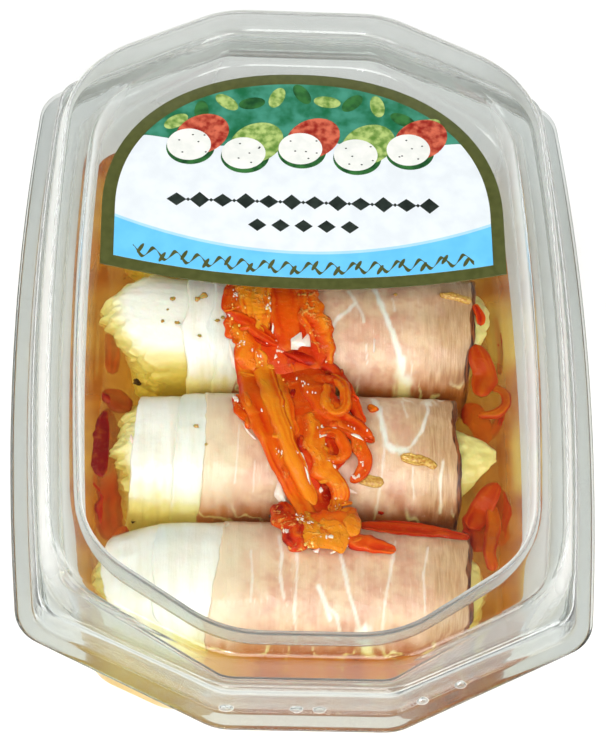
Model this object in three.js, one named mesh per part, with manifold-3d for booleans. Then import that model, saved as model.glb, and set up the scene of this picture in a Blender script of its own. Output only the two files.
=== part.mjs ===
// Clear lidded tub with four cheese rolls wrapped in bacon, pepper strips and oil.
// Millimetres, +Z up. X runs along the rolls, Y along the tub, and the origin is the middle of the base.

import * as THREE from 'three';
import * as BufferGeometryUtils from 'three/addons/utils/BufferGeometryUtils.js';
import Module from 'manifold-3d';

const wasm = await Module();
wasm.setup();

// ---------------------------------------------------------------- driving dimensions

const wall = 0.8; // plastic of tub and lid
const gap = 0.3; // clearance between neighbouring pieces
const flangeZ = 42; // underside of the lid's flange above the base
const lidRise = 21.5; // rim top above flangeZ
const panelRise = 9.7; // top of the lid's middle panel above flangeZ
const shoulderRise = 9.6; // top of the lid's shoulder above flangeZ
const landRise = 8; // top of the tub's rim above flangeZ
const oilZ = 28; // level of the oil
const footZ = 5; // where the tub's wall rises from the rounding round its floor
const mouthRound = 2.4; // height of the rounding at the tub's mouth

// Plan outlines, each an octagon with bowed long sides: half width at y = 0 and at the side corner,
// y of that corner, x of the end corner, half length, and the rounding of the two corners.
const flange = { a: 73.5, ac: 69.2, yc: 81.3, c: 21.3, b: 106, r1: 11, r2: 14 };
const skirtFoot = { a: 69.3, ac: 65, yc: 79.6, c: 20.9, b: 101.2, r1: 9, r2: 13 };
const shoulder = { a: 68.6, ac: 64.3, yc: 79.2, c: 20.6, b: 100.6, r1: 9, r2: 12 };
const rimFoot = { a: 66.4, ac: 62.6, yc: 78.4, c: 21, b: 99, r1: 24, r2: 18 };
const rimOut = { a: 64.7, ac: 61.6, yc: 77.6, c: 21.5, b: 98.2, r1: 32, r2: 26 };
const rimIn = { a: 56.4, ac: 53.6, yc: 66.2, c: 20.4, b: 89.9, r1: 28, r2: 30 };
const panel = { a: 55.7, ac: 53.4, yc: 65.6, c: 20.6, b: 87.9, r1: 28, r2: 31 };
const mouth = { a: 60.6, ac: 57.6, yc: 70, c: 19.5, b: 94.3, r1: 7, r2: 8 };
const base = { a: 53, ac: 50.8, yc: 72.5, c: 33, b: 81.2, r1: 9, r2: 12 };

// Rolls, from the near end of the tub to the far end. The cheese shows past both ends of its wrap, and
// both narrow towards the tub's slanted corners.
const rollHalfWidth = 18.9;
const rollHalfHeight = 18.6;
const rollSquareness = 2.4; // exponent of the section, 2 is an ellipse
const rollZ = wall + 0.4 + rollHalfHeight;
const wrapThickness = 2.6;
const rolls = [
  { y: -59.3, wrapFrom: -45.5, wrapTo: 43, cheeseFrom: -49, cheeseTo: 47, layers: [9, 20], narrow: 4.5 },
  { y: -20.9, wrapFrom: -42.5, wrapTo: 41, cheeseFrom: -48.5, cheeseTo: 50, layers: [13, 21], narrow: 1 },
  { y: 17.5, wrapFrom: -35.5, wrapTo: 46.5, cheeseFrom: -52.5, cheeseTo: 51, layers: [11, 17], narrow: 1 },
  { y: 55.9, wrapFrom: -42, wrapTo: 43.5, cheeseFrom: -49.5, cheeseTo: 48.5, layers: [10, 18], narrow: 2 },
];

const labelHalfWidth = 52.3;
const labelCornerY = 20.6; // the two lower corners
const labelLowY = 14.2; // lowest point of the curved lower edge
const labelSpringY = 38; // where the straight sides turn into the arch
const labelTopY = 84.4;
const labelSquareness = 2.2;
const labelThickness = 0.3;

// ---------------------------------------------------------------- materials

const colours = {
  plastic: { color: 0xd5dad8, roughness: 0.08, metalness: 0 },
  print: { color: 0x5f9fc4, roughness: 0.4, metalness: 0 },
  cheese: { color: 0xeee4a8, roughness: 0.6, metalness: 0 },
  bacon: { color: 0xd6a488, roughness: 0.35, metalness: 0 },
  pepper: { color: 0xd8501a, roughness: 0.3, metalness: 0 },
  oil: { color: 0xc98a22, roughness: 0.05, metalness: 0 },
};

// ---------------------------------------------------------------- shared geometry

// Closed outline of one octagon as x, y pairs, the same number of points for every outline.
function outlinePoints(o) {
  const side = new THREE.Vector2(o.ac, o.yc);
  const end = new THREE.Vector2(o.c, o.b);
  const slant = end.clone().sub(side).normalize();
  const sideTangent = new THREE.Vector2(-2 * (o.a - o.ac) / o.yc, 1).normalize();
  const sideTurn = Math.acos(sideTangent.dot(slant));
  const endTurn = Math.acos(-slant.x);
  const sideCut = o.r1 * Math.tan(sideTurn / 2);
  const endCut = o.r2 * Math.tan(endTurn / 2);
  const bowed = (y) => new THREE.Vector2(o.ac + (o.a - o.ac) * (1 - (y / o.yc) ** 2), y);
  const quarter = [];
  for (let i = 0; i < 3; i++) quarter.push(bowed((o.yc - sideCut) * i / 3));
  const sideStart = bowed(o.yc - sideCut);
  const sideEnd = side.clone().addScaledVector(slant, sideCut);
  const endStart = end.clone().addScaledVector(slant, -endCut);
  const endEnd = new THREE.Vector2(o.c - endCut, o.b);
  const sideArc = new THREE.QuadraticBezierCurve(sideStart, side, sideEnd);
  const endArc = new THREE.QuadraticBezierCurve(endStart, end, endEnd);
  for (let i = 0; i < 3; i++) quarter.push(sideArc.getPoint(i / 3));
  for (let i = 0; i < 2; i++) quarter.push(sideEnd.clone().lerp(endStart, i / 2));
  for (let i = 0; i < 3; i++) quarter.push(endArc.getPoint(i / 3));
  quarter.push(endEnd);
  const points = [];
  quarter.forEach((p) => points.push([p.x, p.y]));
  points.push([0, o.b]);
  [...quarter].reverse().forEach((p) => points.push([-p.x, p.y]));
  quarter.slice(1).forEach((p) => points.push([-p.x, -p.y]));
  points.push([0, -o.b]);
  [...quarter].reverse().slice(0, -1).forEach((p) => points.push([p.x, -p.y]));
  return points;
}

// The outline moved outward by d all round.
function offset(o, d) {
  const slope = Math.atan2(o.b - o.yc, o.ac - o.c);
  const sideShift = d * Math.tan((Math.PI / 2 - slope) / 2);
  const endShift = d * Math.tan(slope / 2);
  return {
    a: o.a + d,
    ac: o.ac + d,
    yc: o.yc + sideShift,
    c: o.c + endShift,
    b: o.b + d,
    r1: Math.max(o.r1 + d, 1),
    r2: Math.max(o.r2 + d, 1),
  };
}

// The outline a share t of the way from one to another.
function between(from, to, t) {
  const mixed = {};
  for (const key of Object.keys(from)) mixed[key] = from[key] + (to[key] - from[key]) * t;
  return mixed;
}

function ringAt(o, z) {
  return outlinePoints(o).map(([x, y]) => [x, y, z]);
}

// Closed body through a row of rings with equal point counts. It ends in flat fans, or, if looped,
// the last ring joins the first.
function loft(rings, looped = false) {
  const count = rings[0].length;
  const positions = rings.flat(2);
  const index = [];
  const bands = looped ? rings.length : rings.length - 1;
  for (let k = 0; k < bands; k++) {
    const low = k * count;
    const high = ((k + 1) % rings.length) * count;
    for (let i = 0; i < count; i++) {
      const j = (i + 1) % count;
      index.push(low + i, low + j, high + j);
      index.push(low + i, high + j, high + i);
    }
  }
  if (!looped) {
    const last = (rings.length - 1) * count;
    for (let i = 1; i < count - 1; i++) {
      index.push(0, i + 1, i);
      index.push(last, last + i, last + i + 1);
    }
  }
  const geometry = new THREE.BufferGeometry();
  geometry.setAttribute('position', new THREE.Float32BufferAttribute(positions, 3));
  geometry.setIndex(index);
  return facingOut(geometry);
}

// Turns the triangles round where the body is inside out.
function facingOut(geometry) {
  const p = geometry.getAttribute('position');
  const index = geometry.getIndex().array;
  const a = new THREE.Vector3();
  const b = new THREE.Vector3();
  const c = new THREE.Vector3();
  let volume = 0;
  for (let i = 0; i < index.length; i += 3) {
    a.fromBufferAttribute(p, index[i]);
    b.fromBufferAttribute(p, index[i + 1]);
    c.fromBufferAttribute(p, index[i + 2]);
    volume += a.dot(b.cross(c));
  }
  if (volume < 0) {
    for (let i = 0; i < index.length; i += 3) [index[i + 1], index[i + 2]] = [index[i + 2], index[i + 1]];
  }
  return geometry;
}

function toSolid(geometry) {
  const plain = geometry.clone();
  plain.deleteAttribute('normal');
  plain.deleteAttribute('uv');
  const merged = BufferGeometryUtils.mergeVertices(plain, 1e-4);
  const vertProperties = new Float32Array(merged.getAttribute('position').array);
  const triVerts = new Uint32Array(merged.getIndex().array);
  return new wasm.Manifold(new wasm.Mesh({ numProp: 3, vertProperties, triVerts }));
}

function toGeometry(solid) {
  const mesh = solid.getMesh();
  const geometry = new THREE.BufferGeometry();
  geometry.setAttribute('position', new THREE.BufferAttribute(new Float32Array(mesh.vertProperties), 3));
  geometry.setIndex(new THREE.BufferAttribute(new Uint32Array(mesh.triVerts), 1));
  return geometry;
}

// The largest of the bodies that a cut leaves.
function largest(solid) {
  return solid.decompose().sort((one, other) => other.volume() - one.volume())[0];
}

const part = new THREE.Group();

function addPiece(name, geometry, look) {
  const mesh = new THREE.Mesh(geometry, new THREE.MeshStandardMaterial(look));
  mesh.name = name;
  part.add(mesh);
}

// ---------------------------------------------------------------- tub and lid

// Shell of the tub: up the inside from the floor, over the rim and flange, and down the outside.
function tubGeometry() {
  const bead = offset(shoulder, -wall - gap - 0.1);
  const beadFoot = offset(skirtFoot, -wall - gap - 0.1);
  const edge = offset(flange, -0.6);
  const outerBase = offset(base, wall);
  const outerMouth = offset(mouth, wall);
  const flangeTop = flangeZ - gap;
  const landTop = flangeZ + landRise;
  return loft([
    ringAt(offset(base, -6), wall),
    ringAt(offset(base, -1.8), 1.9),
    ringAt(base, footZ),
    ringAt(between(base, mouth, 0.5), 26),
    ringAt(mouth, landTop - mouthRound),
    ringAt(offset(mouth, 0.8), landTop - 0.6),
    ringAt(offset(mouth, 2.2), landTop),
    ringAt(offset(bead, -1.2), landTop),
    ringAt(bead, landTop - 0.9),
    ringAt(beadFoot, flangeTop),
    ringAt(edge, flangeTop),
    ringAt(edge, flangeTop - wall),
    ringAt(offset(beadFoot, -wall), flangeTop - wall),
    ringAt(offset(bead, -wall), landTop - wall - 0.7),
    ringAt(offset(bead, -1.8), landTop - wall),
    ringAt(offset(mouth, 2.6), landTop - wall),
    ringAt(offset(mouth, 1.5), landTop - wall - 0.5),
    ringAt(outerMouth, landTop - 2.6),
    ringAt(between(outerBase, outerMouth, 0.5), 25.6),
    ringAt(outerBase, 4.6),
    ringAt(offset(outerBase, -2), 1.1),
    ringAt(offset(outerBase, -6), 0),
  ]);
}

// Shell of the lid: out over the panel, up and over the hollow rim, down the skirt and back below.
function lidGeometry() {
  const panelTop = flangeZ + panelRise;
  const rimTop = flangeZ + lidRise;
  const ledge = flangeZ + shoulderRise;
  return loft([
    ringAt(offset(panel, -0.8), panelTop),
    ringAt(panel, panelTop + 0.8),
    ringAt(rimIn, rimTop - 1.4),
    ringAt(offset(rimIn, 0.8), rimTop - 0.4),
    ringAt(offset(rimIn, 2.4), rimTop),
    ringAt(offset(rimOut, -2.4), rimTop),
    ringAt(offset(rimOut, -0.7), rimTop - 0.6),
    ringAt(rimOut, rimTop - 2.1),
    ringAt(rimFoot, ledge + 0.6),
    ringAt(offset(rimFoot, 0.6), ledge + 0.1),
    ringAt(offset(shoulder, -0.9), ledge),
    ringAt(shoulder, ledge - 0.9),
    ringAt(skirtFoot, flangeZ + wall),
    ringAt(flange, flangeZ + wall),
    ringAt(flange, flangeZ),
    ringAt(offset(skirtFoot, -wall), flangeZ),
    ringAt(offset(shoulder, -wall), ledge - 1.3),
    ringAt(offset(shoulder, -1.5), ledge - wall),
    ringAt(offset(rimFoot, -0.3), ledge - wall + 0.1),
    ringAt(offset(rimFoot, -wall), ledge + 0.3),
    ringAt(offset(rimOut, -wall), rimTop - 2.4),
    ringAt(offset(rimOut, -1.4), rimTop - wall - 0.5),
    ringAt(offset(rimOut, -2.8), rimTop - wall),
    ringAt(offset(rimIn, 2.8), rimTop - wall),
    ringAt(offset(rimIn, 1.5), rimTop - wall - 0.4),
    ringAt(offset(rimIn, wall), rimTop - 2),
    ringAt(offset(panel, wall), panelTop + 0.3),
    ringAt(offset(panel, -0.4), panelTop - wall),
  ]);
}

// Arch-shaped label with a bulging lower edge, lying on the panel.
function labelGeometry() {
  const shape = new THREE.Shape();
  const archSteps = 28;
  const lowSteps = 8;
  for (let i = 0; i <= archSteps; i++) {
    const angle = Math.PI * i / archSteps;
    const power = 2 / labelSquareness;
    const x = labelHalfWidth * Math.sign(Math.cos(angle)) * Math.abs(Math.cos(angle)) ** power;
    const y = labelSpringY + (labelTopY - labelSpringY) * Math.sin(angle) ** power;
    if (i === 0) shape.moveTo(x, y);
    else shape.lineTo(x, y);
  }
  for (let i = 0; i <= lowSteps; i++) {
    const share = 2 * i / lowSteps - 1;
    const sag = (labelCornerY - labelLowY) * (1 - share * share);
    shape.lineTo(labelHalfWidth * share, labelCornerY - sag);
  }
  const geometry = new THREE.ExtrudeGeometry(shape, { depth: labelThickness, bevelEnabled: false });
  return geometry.translate(0, 0, flangeZ + panelRise + gap / 2);
}

// ---------------------------------------------------------------- rolls

const aroundRoll = 20;
const narrowStart = 28; // distance from the middle at which a roll starts to narrow
const narrowLength = 20;

// Ring of a roll's section at x, a distance inset inside the full section, with lumps of a given height.
function rollRing(roll, x, inset, lumps = 0) {
  const ring = [];
  const narrowing = roll.narrow * (Math.max(Math.abs(x) - narrowStart, 0) / narrowLength) ** 2;
  for (let i = 0; i < aroundRoll; i++) {
    const angle = 2 * Math.PI * i / aroundRoll;
    const power = 2 / rollSquareness;
    const c = Math.cos(angle);
    const s = Math.sin(angle);
    const wave = lumps * Math.sin(3 * angle + 0.55 * x + roll.y) * Math.cos(2 * angle - 0.8 * x);
    const halfWidth = rollHalfWidth - inset - narrowing + wave;
    const halfHeight = rollHalfHeight - inset - narrowing + wave;
    const y = roll.y + halfWidth * Math.sign(c) * Math.abs(c) ** power;
    const z = rollZ + halfHeight * Math.sign(s) * Math.abs(s) ** power;
    ring.push([x, y, z]);
  }
  return ring;
}

// Stations along a roll, each its x, how far inside the full section it lies, and its lumps.
// The outside of the wrap steps up at the edges of the overlapping slices.
function wrapStations(roll) {
  const step = 0.5;
  const [first, second] = roll.layers.map((distance) => roll.wrapFrom + distance);
  return [
    [roll.wrapFrom, 3 * step],
    [roll.wrapFrom + 1.2, 2 * step],
    [first - 0.4, 2 * step],
    [first, step],
    [second - 0.4, step],
    [second, 0],
    [roll.wrapTo - 1.5, 0],
    [roll.wrapTo, 0.6],
  ];
}

// The cheese that shows past the left and the right end of the wrap, swollen and uneven.
function cheeseStations(roll) {
  const left = roll.wrapFrom - 0.5;
  const right = roll.wrapTo + 0.5;
  const leftShow = left - roll.cheeseFrom;
  const rightShow = roll.cheeseTo - right;
  return {
    left: [
      [roll.cheeseFrom, 9],
      [roll.cheeseFrom + 0.25 * leftShow, 4.5, 1.2],
      [roll.cheeseFrom + 0.6 * leftShow, 2.6, 1.2],
      [left, 1.9, 0.4],
    ],
    right: [
      [right, 3.4, 0.4],
      [right + 0.5 * rightShow, 4.6, 1],
      [roll.cheeseTo, 9.5],
    ],
  };
}

function wrapGeometry(roll) {
  const outside = wrapStations(roll).map(([x, inset]) => rollRing(roll, x, inset));
  const innerLeft = rollRing(roll, roll.wrapFrom, wrapThickness);
  const innerRight = rollRing(roll, roll.wrapTo, wrapThickness);
  return loft([innerLeft, ...outside, innerRight], true);
}

function cheeseGeometry(roll) {
  const { left, right } = cheeseStations(roll);
  const inside = wrapThickness + gap;
  const ring = (station) => rollRing(roll, ...station);
  const innerLeft = ring([left.at(-1)[0], inside]);
  const innerRight = ring([right[0][0], inside]);
  return loft([...left.map(ring), innerLeft, innerRight, ...right.map(ring)]);
}

// Outside of wrap and cheese together, grown by a clearance, to cut the oil with.
function rollCutter(roll) {
  const { left, right } = cheeseStations(roll);
  const grown = ([x, inset, lumps = 0]) => rollRing(roll, x, inset - 3 * gap, lumps);
  const tip = ([x, inset], sign) => rollRing(roll, x + sign * 2 * gap, inset - 2 * gap);
  return loft([
    tip(left[0], -1),
    ...left.map(grown),
    ...wrapStations(roll).map(grown),
    ...right.map(grown),
    tip(right.at(-1), 1),
  ]);
}

// ---------------------------------------------------------------- pepper strips

// Height of the rolls' upper side at y.
function rollTop(y) {
  let top = rollZ;
  for (const roll of rolls) {
    const share = Math.abs(y - roll.y) / rollHalfWidth;
    if (share < 1) {
      const height = rollHalfHeight * (1 - share ** rollSquareness) ** (1 / rollSquareness);
      top = Math.max(top, rollZ + height);
    }
  }
  return top;
}

// Height at which a soft strip lies at y: it rests on the rolls and sags into the valleys.
function restingZ(y) {
  const reach = 19;
  const stiffness = 0.05;
  let height = 0;
  for (let t = -reach; t <= reach; t += 0.5) height = Math.max(height, rollTop(y + t) - stiffness * t * t);
  return height + 2 * gap;
}

// Strip along points [x, y, lift], flat and six-sided, narrowing at both ends.
function stripGeometry(points, width, thickness, steps) {
  const route = points.map(([x, y, lift]) => {
    return new THREE.Vector3(x, y, restingZ(y) + lift + thickness / 2);
  });
  const curve = new THREE.CatmullRomCurve3(route);
  const rings = [];
  for (let k = 0; k <= steps; k++) {
    const place = curve.getPoint(k / steps);
    const along = curve.getTangent(k / steps);
    place.z = Math.max(place.z, restingZ(place.y) + thickness / 2);
    const across = new THREE.Vector3().crossVectors(along, new THREE.Vector3(0, 0, 1)).normalize();
    const up = new THREE.Vector3().crossVectors(across, along).normalize();
    const taper = 0.45 + 0.55 * Math.sin(Math.PI * (0.06 + 0.88 * k / steps)) ** 0.5;
    const ring = [];
    for (let i = 0; i < 6; i++) {
      const angle = Math.PI * i / 3;
      const p = place.clone();
      p.addScaledVector(across, Math.cos(angle) * taper * width / 2);
      p.addScaledVector(up, Math.sin(angle) * thickness / 2 / Math.sin(Math.PI / 3));
      ring.push(p.toArray());
    }
    rings.push(ring);
  }
  return loft(rings);
}

function fused(geometries) {
  return geometries.map(toSolid).reduce((sum, solid) => sum.add(solid));
}

const bundleStrips = [
  {
    width: 15,
    points: [[-10, 78, 0], [-7, 55, 0], [-5, 30, 0], [-4, 8, 0], [0, -14, 0], [2, -36, 0], [5, -55, 0]],
  },
  {
    width: 6,
    points: [[-16, 60, 1.6], [-15, 38, 1.6], [-16, 17, 1.6], [-13, -3, 1.8], [-8, -20, 1.8], [1, -46, 1.6]],
  },
  {
    width: 5,
    points: [[-15, 6, 1.5], [-14, -18, 1.5], [-9, -31, 1.5], [2, -50, 1.5]],
  },
  {
    width: 8,
    points: [[-3, 62, 1.8], [-6, 30, 2], [-3, 10, 2.4], [-2, -10, 2]],
  },
  {
    width: 7,
    points: [[4, 50, 1.6], [3, 22, 2], [5, 4, 2.2], [11, -14, 1.8], [15, -31, 0.6]],
  },
  {
    width: 5,
    points: [[0, -8, 2.2], [3, -24, 2.4], [6, -40, 2], [10, -54, 0.8]],
  },
  {
    width: 5,
    points: [[-4, -47, 1], [3, -53, 1.8], [12, -52, 1.4], [21, -56, 0.2]],
  },
];
const bundleThickness = 2.6;
const bundleSteps = 12;

// ---------------------------------------------------------------- assembly

addPiece('tub', tubGeometry(), colours.plastic);
addPiece('lid', lidGeometry(), colours.plastic);
addPiece('label', labelGeometry(), colours.print);

rolls.forEach((roll, k) => {
  addPiece(`bacon_${k + 1}`, wrapGeometry(roll), colours.bacon);
  addPiece(`cheese_${k + 1}`, cheeseGeometry(roll), colours.cheese);
});

const bundle = fused(bundleStrips.map((strip) => {
  return stripGeometry(strip.points, strip.width, bundleThickness, bundleSteps);
}));
addPiece('pepper_bundle', toGeometry(largest(bundle)), colours.pepper);

const looseStrips = {
  pepper_strip_1: { points: [[15, -44.5, 0], [22, -45.5, 0], [29, -46.5, 0], [36, -48, 0]], width: 4 },
  pepper_strip_2: { points: [[43, 3, 0], [47, -2, 0.4], [51, -5, 0], [50, -11, 0]], width: 5 },
  pepper_strip_3: { points: [[44.5, -36.5, 0], [46.5, -41, 0], [46, -47, 0]], width: 4.5 },
};
for (const [name, strip] of Object.entries(looseStrips)) {
  addPiece(name, stripGeometry(strip.points, strip.width, 1.8, 8), colours.pepper);
}

// Oil up to its level, clear of the tub and cut round the rolls.
const level = (oilZ - footZ) / (flangeZ + landRise - mouthRound - footZ);
const pool = toSolid(loft([
  ringAt(offset(base, -6), wall + gap),
  ringAt(offset(base, -1.8 - gap), 1.9 + gap),
  ringAt(offset(base, -gap - 0.1), footZ),
  ringAt(offset(between(base, mouth, level), -gap - 0.3), oilZ),
]));
const cutters = rolls.map((roll) => toSolid(rollCutter(roll)));
const oil = cutters.reduce((rest, cutter) => rest.subtract(cutter), pool);
addPiece('oil', toGeometry(largest(oil)), colours.oil);

export default part;
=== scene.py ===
"""Looks of a clear lidded tub of bacon-wrapped cheese rolls with pepper strips in oil.

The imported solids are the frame. Every piece here is a finer mesh in the same place, worked out in
millimetres as numpy arrays and put into Blender in metres.
"""

import itertools
import math
from dataclasses import dataclass

import bpy
import numpy as np
from mathutils import Matrix, Vector


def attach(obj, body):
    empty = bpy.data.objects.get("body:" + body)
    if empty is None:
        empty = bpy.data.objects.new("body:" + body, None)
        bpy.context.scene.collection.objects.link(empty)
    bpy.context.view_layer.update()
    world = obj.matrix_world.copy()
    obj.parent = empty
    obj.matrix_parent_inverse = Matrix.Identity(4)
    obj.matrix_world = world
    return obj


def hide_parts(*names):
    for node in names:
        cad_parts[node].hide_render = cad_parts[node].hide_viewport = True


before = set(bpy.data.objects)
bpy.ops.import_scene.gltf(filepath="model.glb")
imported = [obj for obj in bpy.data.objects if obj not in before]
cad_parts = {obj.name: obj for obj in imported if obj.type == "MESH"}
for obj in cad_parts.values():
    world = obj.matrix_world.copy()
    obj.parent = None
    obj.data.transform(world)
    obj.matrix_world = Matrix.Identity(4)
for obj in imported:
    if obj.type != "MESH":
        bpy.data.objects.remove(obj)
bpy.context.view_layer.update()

# ------------------------------------------------------------------ driving dimensions, millimetres

MM = 0.001
WALL = 0.8  # plastic of tub and lid
GAP = 0.3  # clearance between neighbouring pieces
FLANGE_Z = 42  # underside of the lid's flange
LID_RISE = 21.5  # rim top above the flange
PANEL_RISE = 9.7  # middle panel above the flange
SHOULDER_RISE = 9.6  # lid's shoulder above the flange
LAND_RISE = 8  # top of the tub's rim above the flange
OIL_Z = 28  # level of the oil
OIL_CREEP = 1.6  # distance over which the oil's rise by the rolls and the wall falls off
ROLL_CREEP, WALL_CREEP = 1.6, 0.8  # height of that rise by the rolls and by the wall
MEAN_OIL_HALF_WIDTH = 57  # from the middle of the oil to the wall
FOOT_Z = 5  # where the tub's wall rises from the rounding round its floor
MOUTH_ROUND = 2.4  # height of the rounding at the tub's mouth

# Plan outlines, each an octagon with bowed long sides: half width at y = 0 and at the side corner, y of
# that corner, x of the end corner, half length, and the rounding of the two corners.
FLANGE = np.array([73.5, 69.2, 81.3, 21.3, 106, 11, 14])
SKIRT_FOOT = np.array([69.3, 65, 79.6, 20.9, 101.2, 9, 13])
SHOULDER = np.array([68.6, 64.3, 79.2, 20.6, 100.6, 9, 12])
RIM_FOOT = np.array([66.4, 62.6, 78.4, 21, 99, 24, 18])
RIM_OUT = np.array([64.7, 61.6, 77.6, 21.5, 98.2, 32, 26])
RIM_IN = np.array([56.4, 53.6, 66.2, 20.4, 89.9, 28, 30])
PANEL = np.array([55.7, 53.4, 65.6, 20.6, 87.9, 28, 31])
RIM_MIDDLE = 94  # half length of the lid along the middle of its rim
MOUTH = np.array([60.6, 57.6, 70, 19.5, 94.3, 7, 8])
BASE = np.array([53, 50.8, 72.5, 33, 81.2, 9, 12])

ROLL_HALF_WIDTH = 18.9
ROLL_HALF_HEIGHT = 18.6
ROLL_SQUARENESS = 2.4  # exponent of the section, 2 is an ellipse
ROLL_Z = WALL + 0.4 + ROLL_HALF_HEIGHT
EDGE_ROUND = 0.5  # width over which a slice's edges are rounded
EDGE_WAVE = 0.45  # height of the random waves along them
SLICE_STEP = 0.5  # height by which each slice steps up over the one to its left
NARROW_START, NARROW_LENGTH = 28, 20  # where along x a roll narrows towards its ends

LABEL_HALF_WIDTH = 52.3
LABEL_CORNER_Y = 20.6
LABEL_LOW_Y = 14.2
LABEL_SPRING_Y = 38
LABEL_TOP_Y = 84.4
LABEL_SQUARENESS = 2.2
LABEL_Z = FLANGE_Z + PANEL_RISE + GAP / 2
LABEL_THICKNESS = 0.3
LABEL_BORDER = 3.4

# ------------------------------------------------------------------ camera

PHOTO_WIDTH = 606  # pixels
FOCAL_LENGTH = 2866  # pixels
SENSOR = 36
VIEW_ELEVATION = math.radians(56.46)
VIEW_AZIMUTH = math.radians(-5.68)
VIEW_ROLL = math.radians(6.18)
VIEW_DISTANCE = 728.9
FAR_CLIP = 20  # metres
VIEW_TARGET = np.array([0.1, -5.8, FLANGE_Z])
VIEW_BACK = np.array([
    math.sin(VIEW_AZIMUTH) * math.cos(VIEW_ELEVATION),
    -math.cos(VIEW_AZIMUTH) * math.cos(VIEW_ELEVATION),
    math.sin(VIEW_ELEVATION),
])
VIEW_PLACE = VIEW_TARGET + VIEW_DISTANCE * VIEW_BACK


def add_camera():
    data = bpy.data.cameras.new("camera")
    data.sensor_fit = "HORIZONTAL"
    data.sensor_width = SENSOR
    data.lens = FOCAL_LENGTH / PHOTO_WIDTH * SENSOR
    data.clip_end = FAR_CLIP
    back = Vector(VIEW_BACK)
    right = (-back).cross(Vector((0, 0, 1))).normalized()
    up = right.cross(-back)
    turn = Matrix((right, up, back)).transposed() @ Matrix.Rotation(VIEW_ROLL, 3, "Z")
    camera = bpy.data.objects.new("camera", data)
    camera.matrix_world = Matrix.Translation(Vector(VIEW_PLACE * MM)) @ turn.to_4x4()
    bpy.context.scene.collection.objects.link(camera)
    bpy.context.scene.camera = camera


def lowered(x, y, z):
    """Point at height z on the line of sight through the point x, y of the flange's plane."""
    share = (VIEW_PLACE[2] - z) / (VIEW_PLACE[2] - FLANGE_Z)
    return VIEW_PLACE[0] + (x - VIEW_PLACE[0]) * share, VIEW_PLACE[1] + (y - VIEW_PLACE[1]) * share


# ------------------------------------------------------------------ random fields

# Large odd numbers that stir a point's x, y and z and the seed into a value.
STIR_X, STIR_Y, STIR_Z, STIR_SEED, STIR_AGAIN = 73856093, 19349663, 83492791, 2654435761, 1274126177


def lattice(points, seed):
    """Random field from -1 to 1: values drawn at whole-number points, blended by 3t^2 - 2t^3 between them."""
    cell = np.floor(points).astype(np.int64)
    part = points - cell
    blend = part * part * (3 - 2 * part)
    total = np.zeros(points.shape[:-1])
    for corner in itertools.product((0, 1), repeat=3):
        at = cell + np.array(corner)
        key = at[..., 0] * STIR_X ^ at[..., 1] * STIR_Y ^ at[..., 2] * STIR_Z ^ seed * STIR_SEED
        key = (key ^ key >> 13) * STIR_AGAIN
        value = ((key ^ key >> 16) & 65535) / 32767.5 - 1
        total += value * np.where(corner, blend, 1 - blend).prod(-1)
    return total


def fractal(points, seed, octaves=3):
    """Sum of random fields, each twice as fine and half as strong as the one before."""
    return sum(lattice(points * 2**k, seed + k) / 2**k for k in range(octaves))


def joined(*parts):
    """Arrays and numbers brought to one shape and joined along a new last axis."""
    return np.stack(np.broadcast_arrays(*parts), -1)


def smooth(edge0, edge1, value):
    """0 below the first edge, 1 above the second, and 3t^2 - 2t^3 between them."""
    t = np.clip((value - edge0) / (edge1 - edge0), 0, 1)
    return t * t * (3 - 2 * t)


# ------------------------------------------------------------------ meshes

@dataclass
class Body:
    """Closed surface: points in millimetres, quads and triangles, and masks with a value per point."""

    points: np.ndarray
    quads: np.ndarray
    triangles: np.ndarray
    masks: dict


def grid_body(points, loop_rows=False, masks=None):
    """Body over a grid of points, whose last column joins its first. Looped rows do the same, and others end
    in a pole, a point at the mean of the first and of the last row."""
    rows, columns = points.shape[:2]
    i = np.arange(rows if loop_rows else rows - 1)[:, None]
    j = np.arange(columns)[None, :]
    next_i, next_j = (i + 1) % rows, (j + 1) % columns
    corners = (i * columns + j, next_i * columns + j, next_i * columns + next_j, i * columns + next_j)
    quads = joined(*corners).reshape(-1, 4)
    flat = points.reshape(-1, 3)
    values = {name: np.broadcast_to(v, points.shape[:2]).ravel() for name, v in (masks or {}).items()}
    triangles = np.zeros((0, 3), int)
    if not loop_rows:
        here = np.arange(columns)
        after = (here + 1) % columns
        last = (rows - 1) * columns
        low, high = np.full(columns, len(flat)), np.full(columns, len(flat) + 1)
        triangles = np.concatenate([
            np.stack([low, here, after], 1),
            np.stack([high, last + after, last + here], 1),
        ])
        flat = np.concatenate([flat, points[:1].mean(1), points[-1:].mean(1)])
        values = {
            name: np.concatenate([v, [v[:columns].mean(), v[-columns:].mean()]])
            for name, v in values.items()
        }
    halves = np.concatenate([quads[:, :3], quads[:, [0, 2, 3]], triangles])
    a, b, c = (flat[halves[:, k]] for k in range(3))
    if (a * np.cross(b, c)).sum() < 0:
        quads, triangles = quads[:, ::-1], triangles[:, ::-1]
    return Body(flat, quads, triangles, values)


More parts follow.
